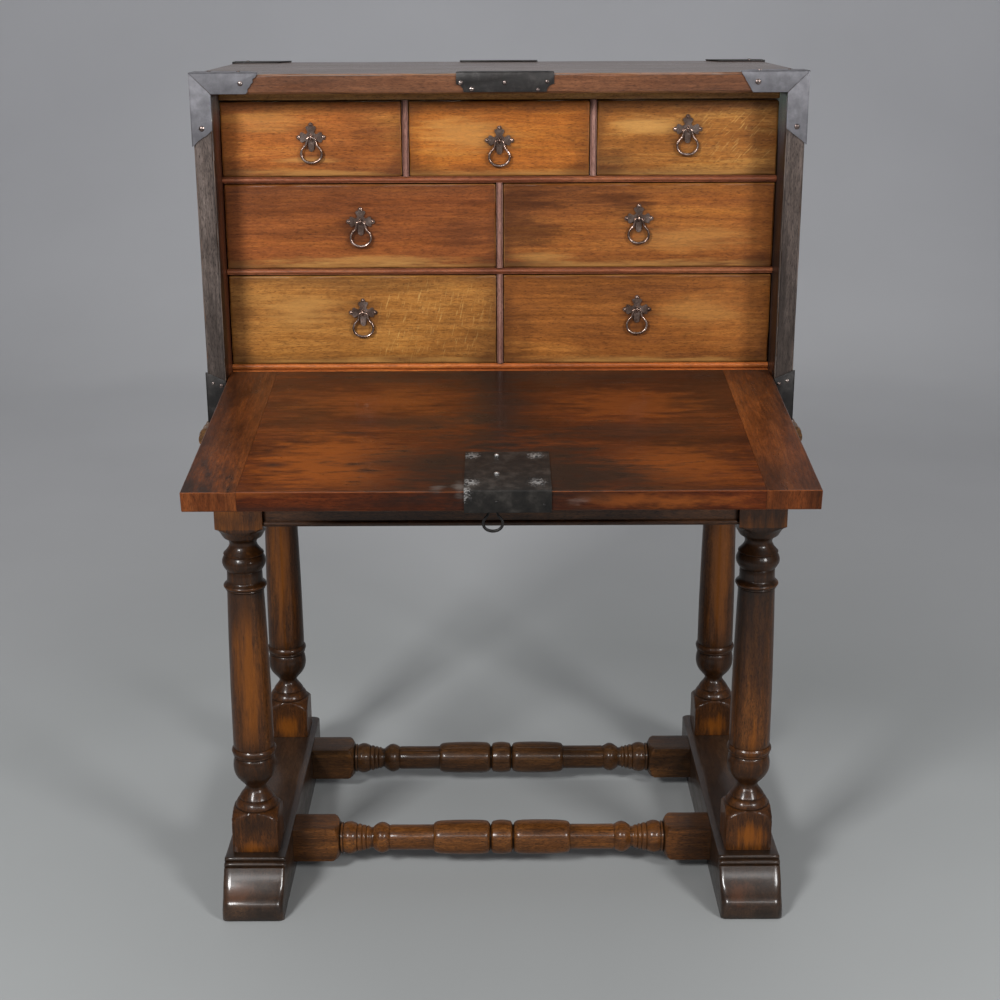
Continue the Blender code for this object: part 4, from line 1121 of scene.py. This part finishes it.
# dark and pale patches: shares of the front's half width and height from its middle, reach, strength
drawerMarks = {
    "top_left": ([(0.7, 0.2, 0.06, 0.03, 0.35)],
                 [(-0.05, -0.55, 0.05, 0.006, 0.49), (-0.5, 0.5, 0.06, 0.02, 0.28)]),
    "top_centre": ([(0.9, 0.0, 0.03, 0.05, 0.35)], [(-0.35, 0.1, 0.08, 0.03, 0.42)]),
    # the dark patch at the right end of top_right is partly dirt and partly a painted shadow
    "top_right": ([(-0.8, -0.6, 0.035, 0.025, 0.49), (0.85, 0.0, 0.04, 0.05, 0.35)],
                  [(-0.45, 0.35, 0.06, 0.015, 0.56)]),
    "middle_left": ([(-0.2, -0.15, 0.16, 0.012, 0.35), (0.8, -0.2, 0.06, 0.04, 0.42),
                     (-0.7, 0.5, 0.10, 0.03, 0.28)],
                    [(0.1, -0.8, 0.16, 0.008, 0.49)]),
    "middle_right": ([(-0.9, 0.0, 0.085, 0.08, 0.66), (-0.4, 0.6, 0.10, 0.02, 0.42),
                      (-0.1, 0.5, 0.05, 0.03, 0.42)],
                     [(-0.75, -0.75, 0.07, 0.012, 0.49), (0.3, -0.3, 0.12, 0.02, 0.28)]),
    "lower_left": ([(0.05, 0.75, 0.10, 0.014, 0.35), (0.9, -0.5, 0.03, 0.05, 0.35),
                    (-0.9, 0.3, 0.03, 0.05, 0.28)],
                   [(-0.45, 0.2, 0.08, 0.03, 0.42)]),
    "lower_right": ([(-0.9, -0.2, 0.04, 0.05, 0.42), (-0.1, 0.6, 0.12, 0.015, 0.24)],
                    [(0.5, 0.2, 0.07, 0.03, 0.24)]),
}
# planed lining of the drawers: dry, pale brown, no wax
liningLook = {"tones": ("5b4026", "7d5c3a", "9a7a53"), "stain": "513821", "deep": "35230f", "black": "2c1c10",
              "rough": 0.6, "wax": 0.0, "pores": 0.6, "dirtAndShade": 0.3}


def makeDrawers():
    liningOak = makeOak("oakDrawerLining", dict(liningLook, grain="y"))
    crossOak = makeOak("oakDrawerBack", dict(liningLook, grain="x"))
    for n, (cell, own) in enumerate(drawerLooks.items()):
        node, body = "drawer_" + cell, cell + "_drawer"
        low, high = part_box(node)
        middle, half, pull = (low + high) / 2, (high - low) / 2, pullPlaces[cell]
        stains = [((pull.x, low.y, pull.z - 0.008), (0.030, 0.03, 0.032), 0.55)]
        # lower corners darker: dirt and painted shade
        stains += [((x, low.y, low.z), (0.05, 0.03, 0.03), 0.5) for x in (low.x, high.x)]
        rubs = []
        for patches, marks in zip((stains, rubs), drawerMarks[cell]):
            for a, b, across, up, strength in marks:
                place = (middle.x + a * half.x, low.y, middle.z + b * half.z)
                patches.append((place, (across, 0.05, up), strength))
        rubs.append(((middle.x, low.y, low.z + 0.002), (1.6 * half.x, 0.05, 0.009), 0.55))
        look = dict(frontLook, stains=stains, rubs=rubs, **own)
        if "rayHalf" in own:
            a, b = own["rayHalf"]
            place = (middle.x + a * half.x, low.y, middle.z + b * half.z)
            look["rayPlace"] = (place, (0.6 * half.x, 0.1, 1.1 * half.z))
        frontOak = makeOak("oakDrawerFront_" + cell, look)
        side, behind, floorTop = drawerSet["side"], low.y + drawerSet["front"], low.z + drawerSet["bottom"]
        left, right, back = low.x + side, high.x - side, high.y - side
        mesh = boardMesh(node + "_front", low, (high.x, behind, high.z), *drawerSet["frontBoard"],
                         seed=11.0 + n)
        finishMesh(mesh, frontOak, body, node, slot="drawer_oak")
        boards = {
            "left": ((low.x, behind, low.z), (left, high.y, high.z), liningOak),
            "right": ((right, behind, low.z), high, liningOak),
            "back": ((left, back, low.z), (right, high.y, high.z), crossOak),
            "bottom": ((left, behind, low.z), (right, back, floorTop), crossOak),
        }
        for word, (a, b, wood) in boards.items():
            mesh = boardMesh(f"{node}_{word}", a, b, *drawerSet["boxBoard"], seed=20.0 + n)
            finishMesh(mesh, wood, body, slot="drawer_oak")


# far is the length of the plate's arms, bend the staple's radius, sunk how deep its legs go in
pullSet = {"thick": 0.0016, "far": 0.0165, "hub": 0.0076, "bend": 0.0034, "sunk": 0.0006, "staple": 0.0013,
           "wire": 0.0017, "nail": (0.0023, 0.0016), "pearLow": 0.0333}
pearHalf = [(0.0, 0.0), (0.0034, -0.0005), (0.0053, -0.0024), (0.0061, -0.0060), (0.0074, -0.0102),
            (0.0105, -0.0138), (0.0131, -0.0178), (0.0137, -0.0226), (0.0119, -0.0278), (0.0072, -0.0318)]


def pearRing(name, pivot, scale, body, node, metal):
    # a pear-shaped ring, thickest at the bottom of its bow
    half = [(x * scale, z * scale) for x, z in pearHalf]
    lowest = pullSet["pearLow"] * scale
    loop = half + [(0.0, -lowest)] + [(-x, z) for x, z in reversed(half[1:])]
    path = smoothLoop([(pivot[0] + x, pivot[1], pivot[2] + z) for x, z in loop], 4)
    radii = []
    for spot in path:
        down = (pivot[2] - spot.z) / lowest
        radii.append(pullSet["wire"] * (0.88 + 0.24 * down * down))
    finishMesh(wireMesh(name, path, radii, True), metal, body, node, 60, slot="wrought_iron")


def stapleMesh(name, pivot, root, axis):
    # a bow of wire round a ring's pivot, with two legs back to the root; it stands out along minus y or z
    bend, rise = pullSet["bend"], 3 - axis
    angles = [math.pi / 2 - math.pi * i / 12 for i in range(13)]
    path = []
    for angle in [angles[0]] + angles + [angles[-1]]:
        spot = Vector(pivot)
        spot[rise] += bend * math.sin(angle)
        spot[axis] -= bend * math.cos(angle)
        path.append(spot)
    path[0][axis] = path[-1][axis] = root
    return wireMesh(name, path, [pullSet["staple"]] * len(path), False, normal=(1, 0, 0))


def pullOutline():
    # a cross with three trefoil arms and a plain foot, as the outer edge of many discs
    far = pullSet["far"]
    discs = [(0.0, 0.0, pullSet["hub"])]
    for ax, ay in ((0, 1), (1, 0), (-1, 0)):
        for step in range(5):
            reach = far * (0.3 + 0.13 * step)
            discs.append((ax * reach, ay * reach, 0.0042 - 0.0003 * step))
        discs.append((ax * far, ay * far, 0.0030))
        for s in (-1, 1):
            discs.append((ax * far * 0.74 + s * ay * 0.0042, ay * far * 0.74 + s * ax * 0.0042, 0.0026))
    discs += [(0.0, -0.0030 * step, 0.0052 - 0.0003 * step) for step in range(6)]
    return starOutline(discs, 220)


def makePulls():
    # cut plates, each with a staple, three nails and a ring
    edge, far = pullOutline(), pullSet["far"]
    for cell, pivot in pullPlaces.items():
        node, body = "pull_plate_" + cell, cell + "_drawer"
        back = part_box(node)[1].y
        face = back - pullSet["thick"]
        line = [(pivot.x + x, pivot.z + z) for x, z in edge]
        mesh = slabMesh(node + "_cut", line, 1, face, back, 0)
        finishMesh(mesh, ringIron, body, node, 50, slot="wrought_iron")
        mesh = stapleMesh(node + "_staple", pivot, back - pullSet["sunk"], 1)
        finishMesh(mesh, ringIron, body, slot="wrought_iron")
        places = [((pivot.x + x, face, pivot.z + z), (0, -1, 0)) for x, z in ((0, far), (far, 0), (-far, 0))]
        mesh = studMesh(node + "_nails", places, *pullSet["nail"])
        finishMesh(mesh, ringIron, body, slot="wrought_iron")
        pearRing("pull_ring_" + cell + "_forged", pivot, 1.0, cell + "_ring", "pull_ring_" + cell, ringIron)


makeDrawers()
makePulls()
print("drawers and pulls made")


# Fall

# droop in degrees; seam is where the two boards of the panel meet, from the hinge line; the boards give
# softness of the edges, wear and waves, and flatFace tells the lip and the cleats' ends from the rest
fallSet = {"droop": 7.5, "seam": -0.201, "gap": 0.0002, "panel": (0.0013, 0.5, 0.0),
           "cleat": (0.0013, 0.6, 0.0), "flatFace": 0.7}
fallHinge = Vector(joints["fall_hinge"]["pos_m"])
fallPlace = Matrix.Translation(fallHinge) @ Matrix.Rotation(math.radians(fallSet["droop"]), 4, "X")
# oiled and polished red-brown, ink black round the lock and at the hinge, worn lighter where arms have lain
fallLook = {"grain": "x", "tones": ("2d1307", "47200c", "683413"), "stain": "241107", "deep": "190a04",
            "black": "1c1714", "rub": "7e4115", "scuff": "85807b", "torn": (50.0, 13.33), "rough": 0.32,
            "shine": 0.12, "wax": 0.16, "waxRough": 0.12, "cloud": 0.8, "pores": 0.55, "dirtAndShade": 0.3,
            "bump": 0.25, "grainWidth": 4, "lively": 0.34, "arris": 0.6}


def fallBox(node):
    # a node's corners in the fall's own frame, level and about its hinge line
    back = fallPlace.inverted()
    spots = [back @ v.co for v in frame["nodes"][node].data.vertices]
    low = Vector([min(s[a] for s in spots) for a in range(3)])
    high = Vector([max(s[a] for s in spots) for a in range(3)])
    return low, high


def fallFinishes(low, high):
    lockLow, lockHigh = fallBox("lock_plate")
    lockX, lockY = (lockLow.x + lockHigh.x) / 2, lockLow.y
    lip = (low.z + high.z) / 2
    # marks on the upper face, as x, y, reach across and along, strength
    top = {
        "stains": [(lockX, lockY + 0.04, 0.205, 0.175, 1.0), (lockX - 0.01, -0.12, 0.06, 0.22, 0.8),
                   (lockX + 0.11, lockY + 0.05, 0.12, 0.055, 0.75),
                   (lockX - 0.13, lockY + 0.09, 0.11, 0.045, 0.6), (0.16, -0.20, 0.13, 0.035, 0.6),
                   (-0.10, -0.17, 0.12, 0.03, 0.6), (0.0, -0.005, 0.34, 0.040, 0.65),
                   (-0.274, -0.305, 0.026, 0.010, 0.85), (-0.185, -0.205, 0.03, 0.006, 0.7)],
        "ends": [(-0.37, low.y, 0.08, 0.13, 0.85), (0.37, -0.02, 0.10, 0.16, 0.5),
                 (-0.37, -0.04, 0.06, 0.16, 0.4), (0.31, -0.33, 0.03, 0.10, 0.3)],
        "rubs": [(-0.20, -0.30, 0.13, 0.11, 0.75), (0.20, -0.31, 0.12, 0.08, 0.45),
                 (-0.16, -0.10, 0.13, 0.07, 0.42), (0.17, -0.11, 0.12, 0.07, 0.45)],
    }
    for word, marks in top.items():
        top[word] = [((x, y, high.z), (across, along, 0.05), strength)
                     for x, y, across, along, strength in marks]
    top["stains"].append(((0.0, low.y, low.z), (0.6, 0.02, 0.014), 0.8))
    scuffs = [((lockLow.x - 0.004, low.y + 0.012, high.z), (0.012, 0.018, 0.02), 0.3),
              ((lockLow.x - 0.032, low.y + 0.010, high.z), (0.014, 0.010, 0.02), 0.22),
              ((lockHigh.x + 0.030, low.y, low.z + 0.012), (0.018, 0.01, 0.006), 0.22)]
    # marks on the lip
    inky = [((lockX, low.y, high.z), (0.15, 0.05, 0.06), 0.75),
            ((-0.27, low.y, low.z), (0.16, 0.05, 0.012), 0.6),
            ((-0.12, low.y, lip), (0.09, 0.05, 0.012), 0.45)]
    bright = [((0.17, low.y, lip), (0.13, 0.05, 0.012), 0.7),
              ((-0.30, low.y, high.z), (0.07, 0.05, 0.010), 0.5)]
    dull = {"wax": 0.04, "shine": 0.06}
    # cleats: paler, with the grain along them; lip: redder and dull, inky by the lock; ends: palest and dull
    return {
        "panel": makeOak("oakFallPolished", dict(fallLook, stains=top["stains"], rubs=top["rubs"],
                                                 scuffs=scuffs)),
        "cleat": makeOak("oakFallCleat", dict(fallLook, grain="y", tones=("3f1e0c", "613214", "814922"),
                                              stains=top["ends"], shift=(0.7, 0.2, 0.1))),
        "lip": makeOak("oakFallLip", dict(fallLook, tones=("331206", "50210a", "723817"), rub="85471b",
                                          stains=inky, rubs=bright, scuffs=scuffs, **dull)),
        "end": makeOak("oakCleatEnd", dict(fallLook, grain="z", tones=("4d260f", "733b1a", "93562c"),
                                           **dull)),
    }


def makeFall():
    low, high = fallBox("fall_panel")
    woods = fallFinishes(low, high)
    seam, gap = fallSet["seam"], fallSet["gap"]
    # each board: its corners, the sides that butt, wear of its edges, seed, node it stands for, its two woods
    boards = {
        "fall_panel_near": (low, (high.x, seam - gap, high.z), [(0, -1), (0, 1), (1, 1)], "panel", 35.0,
                            "fall_panel", ("panel", "lip")),
        "fall_panel_far": ((low.x, seam + gap, low.z), high, [(0, -1), (0, 1), (1, -1)], "panel", 34.0, None,
                           ("panel",)),
        "fall_cleat_left_board": (*fallBox("fall_cleat_left"), [(0, 1)], "cleat", 44.0, "fall_cleat_left",
                                  ("cleat", "end")),
        "fall_cleat_right_board": (*fallBox("fall_cleat_right"), [(0, -1)], "cleat", 45.0, "fall_cleat_right",
                                   ("cleat", "end")),
    }
    for name, (a, b, butts, kind, seed, node, finishes) in boards.items():
        mesh = boardMesh(name, a, b, *fallSet[kind], seed=seed, joints=butts)
        finishMesh(mesh, woods[finishes[0]], "fall", node, place=fallPlace, slot="fall_oak")
        for word in finishes[1:]:
            refinish(mesh, woods[word], 1, -1, fallSet["flatFace"])


# under is how far the fold reaches back below the lip; nails and studs give radius and height
lockSet = {"thick": 0.0016, "lift": 0.0003, "under": 0.040, "nail": (0.0020, 0.0010),
           "stud": (0.0034, 0.0026), "studX": -0.0055, "ringScale": 0.84}


def makeLock():
    # blackened plate folded over the lip, nails at its corners, two studs, staple and ring below
    low, high = fallBox("lock_plate")
    panelLow, panelHigh = fallBox("fall_panel")
    thick = lockSet["thick"]
    top, under = panelHigh.z + lockSet["lift"], panelLow.z - lockSet["lift"]
    lip, far, face = low.y, high.y, top + thick
    line = [(far, top), (far, top + thick * 0.6), (far - 0.001, face)]
    for start, level in ((math.pi / 2, top), (math.pi, under)):
        for i in range(6):
            angle = start + math.pi / 2 * i / 5
            line.append((lip + thick + thick * math.cos(angle), level + thick * math.sin(angle)))
    fold = panelLow.y + lockSet["under"]
    line += [(fold, under - thick), (fold, under), (lip + thick, under), (lip + thick, top)]
    # dull black with a frost of bare bright specks round its nails and at one corner
    frost = [((x, y, face), 0.012, 0.42) for x in (-0.036, 0.042) for y in (far - 0.013, lip + 0.024)]
    frost += [((low.x, lip + 0.004, face), 0.010, 0.38), ((low.x, lip, face - 0.008), 0.007, 0.3)]
    lockIron = makeIron("lockIronBlackened", {
        "tones": ("141312", "1e1c1a", "322f2c"), "rustColour": "211a16", "bare": "b5b2af", "rough": 0.50,
        "rust": 0.3, "blow": 16, "metal": 0.0, "shine": 0.14, "rubs": frost})
    nails = []
    for outer, inner in ((-0.041, -0.036), (0.048, 0.043)):
        for first, second in ((far - 0.010, far - 0.016), (lip + 0.020, lip + 0.027)):
            nails += [((outer, first, face), (0, 0, 1)), ((inner, second, face), (0, 0, 1))]
    nails += [((x, lip, z), (0, -1, 0)) for x, z in ((-0.036, 0.004), (-0.006, 0.0), (0.050, -0.004))]
    studs = [((lockSet["studX"], far - back, face), (0, 0, 1)) for back in (0.013, 0.068)]
    ring = Vector(joints["lock_ring_swing"]["pos_m"])
    local = fallPlace.inverted() @ ring
    pieces = [
        (slabMesh("lock_plate_folded", line, 0, low.x, high.x, 0), lockIron, "lock_plate"),
        (studMesh("lock_plate_nails", nails, *lockSet["nail"]), blackIron, None),
        (studMesh("lock_plate_studs", studs, *lockSet["stud"]), nailIron, None),
        (stapleMesh("lock_ring_staple", local, under - pullSet["sunk"], 2), blackIron, None),
    ]
    for mesh, metal, node in pieces:
        finishMesh(mesh, metal, "fall", node, place=fallPlace, slot="wrought_iron")
    pearRing("fall_ring_forged", ring, lockSet["ringScale"], "lock_ring", "fall_ring", nearBlackIron)


makeFall()
makeLock()
print("fall made")


# Ironwork on the case

# long and short are the slanted ends of the front corners, fold how far leaves go back from the front;
# tear is how ragged the left and right ends are; rivets and nails give radius and height
cornerSet = {"thick": 0.0016, "lift": 0.0003, "long": 0.088, "short": 0.071, "fold": 0.045, "board": 0.026,
             "tear": {-1: (0.004, 0.0030), 1: (0.0008, 0.0010)}, "rivet": (0.0036, 0.0018),
             "nail": (0.0028, 0.0014)}
backSet = {"fold": 0.034, "near": 0.068, "far": 0.084, "tall": 0.070, "board": 0.024}
bottomSet = {"tall": 0.071, "foot": 0.0008, "slant": 0.012}
caseLow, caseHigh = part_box("case_top")
front, back, top, half = caseLow.y, caseHigh.y, caseHigh.z, caseHigh.x
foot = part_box("case_bottom")[0].z
proud = cornerSet["lift"] + cornerSet["thick"]
roof, outer = top + proud, half + proud


def jag(a, b, count, depth, seed):
    # a torn edge between two points
    a, b = Vector(a), Vector(b)
    side = Vector((-(b - a).y, (b - a).x)).normalized()
    line = []
    for i in range(count + 1):
        t = i / count
        push = depth * noise.noise(Vector((seed + t * 7.3, seed, 0))) if 0 < i < count else 0
        line.append(tuple(a + (b - a) * t + side * push))
    return line


def plateOn(name, outline, axis, face, out, metal=blackIron, node=None, flip=1):
    # a thin plate lying on a face; out is the way the face looks along the axis, flip mirrors left and right
    low, high = sorted((face + out * cornerSet["lift"], face + out * proud))
    mesh = slabMesh(name, [(flip * a, b) for a, b in outline], axis, low, high, 0.0005)
    finishMesh(mesh, metal, base, node, slot="wrought_iron")


def makeFrontIrons(side, sign):
    # mitred pair on the front, one along the top board and one down the side board, and leaves behind both
    name = "corner_iron_" + side
    longer, shorter, fold, board = (cornerSet[k] for k in ("long", "short", "fold", "board"))
    acrossTear, downTear = cornerSet["tear"][sign]
    line = [(outer, roof)]
    line += jag((half - longer, roof), (half - shorter, top - board + 0.0006), 9, acrossTear, 2.0)
    line.append((half - board, top - board + 0.0006))
    plateOn(name + "_across", line, 1, front, -1, plateIron, name, sign)
    line = [(outer - 0.0006, roof - 0.0009), (half - board + 0.0002, top - board)]
    line += jag((half - board + 0.0002, top - shorter), (outer - 0.0002, top - longer - 0.004), 9,
                downTear, 5.0)
    plateOn(name + "_down", line, 1, front, -1, plateIron, flip=sign)
    line = [(outer, front - proud), (outer, front + fold)]
    line += jag((half - longer * 0.80, front + fold * 0.9), (half - longer, front - proud), 8, 0.002, 8.0)
    plateOn(name + "_roof", line, 2, top, 1, plateIron, flip=sign)
    line = [(front - proud, roof), (front + fold, roof)]
    line += jag((front + fold * 0.9, top - longer * 0.85), (front - proud, top - longer - 0.004), 8,
                0.0015, 12.0)
    plateOn(name + "_flank", line, 0, sign * half, sign, plateIron)


def makeBackIrons(side, sign):
    name = "back_iron_" + side
    fold, near, far, tall, board = (backSet[k] for k in ("fold", "near", "far", "tall", "board"))
    line = [(outer, back + proud), (outer, back - fold)]
    line += jag((half - near, back - fold), (half - far, back + proud), 7, 0.002, 15.0)
    plateOn(name + "_roof", line, 2, top, 1, flip=sign)
    line = [(outer, roof), (outer, top - tall), (half - board, top - tall + 0.008),
            (half - board, top - board), (half - tall, top - board), (half - far, roof)]
    plateOn(name + "_rear", line, 1, back, 1, flip=sign)
    line = [(back + proud, roof), (back - fold, roof), (back - fold, top - tall + 0.010),
            (back + proud, top - tall)]
    plateOn(name + "_flank", line, 0, sign * half, sign)


def makeBottomIrons(side, sign):
    name = "bottom_iron_" + side
    low, high, inner = foot + bottomSet["foot"], foot + bottomSet["tall"], half - cornerSet["board"] + 0.0006
    line = [(outer, low), (outer, high)]
    line += jag((half, high), (inner, high - bottomSet["slant"]), 6, 0.001, 21.0) + [(inner, low)]
    plateOn(name + "_front", line, 1, front, -1, flip=sign)
    fold = front + cornerSet["fold"]
    line = [(front - proud, low), (fold, low), (fold, high - 0.010), (front - proud, high)]
    plateOn(name + "_flank", line, 0, sign * half, sign)


def makeRivets(side, sign):
    # two rivets on each front corner, then nails on the front, the flank, the back and the roof
    places = [((sign * (half - inset), front - proud, top - down), (0, -1, 0))
              for inset, down in ((0.065, 0.012), (0.012, 0.069))]
    mesh = studMesh(f"corner_iron_{side}_rivets", places, *cornerSet["rivet"])
    finishMesh(mesh, iron, base, slot="wrought_iron")
    places = [((sign * (half - inset), front - proud, foot + up), (0, -1, 0))
              for inset, up in ((0.008, 0.056), (0.019, 0.052), (0.013, 0.020))]
    for y, levels in ((front + 0.030, (foot + 0.015, foot + 0.052, top - 0.015, top - 0.07)),
                      (back - 0.020, (top - 0.015, top - 0.052))):
        places += [((sign * outer, y, z), (sign, 0, 0)) for z in levels]
    places += [((sign * (half - inset), back + proud, top - down), (0, 1, 0))
               for inset, down in ((0.012, 0.045), (0.060, 0.012))]
    places += [((sign * (half - inset), y, roof), (0, 0, 1))
               for inset, y in ((0.020, front + 0.028), (0.060, front + 0.020), (0.020, back - 0.018))]
    mesh = studMesh("case_nails_" + side, places, *cornerSet["nail"])
    finishMesh(mesh, iron, base, slot="wrought_iron")


# nails are given from the plate's left end and down from the top; strap is the plate at the back
strikeSet = {"scoop": 0.0096, "ear": 0.010, "inset": 0.006, "fold": 0.020, "nail": (0.0030, 0.0016),
             "nails": [(0.0, 0.012), (0.014, 0.020), (0.057, 0.012), (0.100, 0.021), (0.112, 0.011)],
             "strapHalf": 0.059, "strapFold": 0.024, "strapEnd": 0.040, "strapTip": 0.052}


def makeStrike():
    # blackened plate on the top's front edge with scooped lower corners and an ear at each end
    low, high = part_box("strike_plate")
    scoop, inset = [], strikeSet["inset"]
    for i in range(7):
        angle = math.pi / 2 * i / 6
        scoop.append((strikeSet["scoop"] * math.sin(angle), low.z + strikeSet["ear"] * math.cos(angle)))
    line = [(low.x, high.z), (high.x, high.z)] + [(high.x - x, z) for x, z in scoop]
    line += [(low.x + x, z) for x, z in reversed(scoop)]
    plateOn("strike_plate_front", line, 1, front, -1, node="strike_plate")
    line = [(low.x, front - proud), (high.x, front - proud)]
    fold = front + strikeSet["fold"]
    line += jag((high.x - inset, fold), (low.x + inset, fold), 10, 0.0015, 4.0)
    plateOn("strike_plate_roof", line, 2, top, 1)
    places = [((low.x + inset + x, front - proud, top - down), (0, -1, 0)) for x, down in strikeSet["nails"]]
    mesh = studMesh("strike_plate_nails", places, *strikeSet["nail"])
    finishMesh(mesh, iron, base, slot="wrought_iron")
    wide, fold = strikeSet["strapHalf"], back - strikeSet["strapFold"]
    line = [(-wide, back + proud), (-wide, fold), (wide, fold), (wide, back + proud)]
    plateOn("back_strap_roof", line, 2, top, 1)
    end, tip = top - strikeSet["strapEnd"], top - strikeSet["strapTip"]
    line = [(-wide, roof), (-wide, end), (0.0, tip), (wide, end), (wide, roof)]
    plateOn("back_strap_rear", line, 1, back, 1)


for side, sign in (("left", -1), ("right", 1)):
    makeFrontIrons(side, sign)
    makeBackIrons(side, sign)
    makeBottomIrons(side, sign)
    makeRivets(side, sign)
makeStrike()
print("ironwork made")
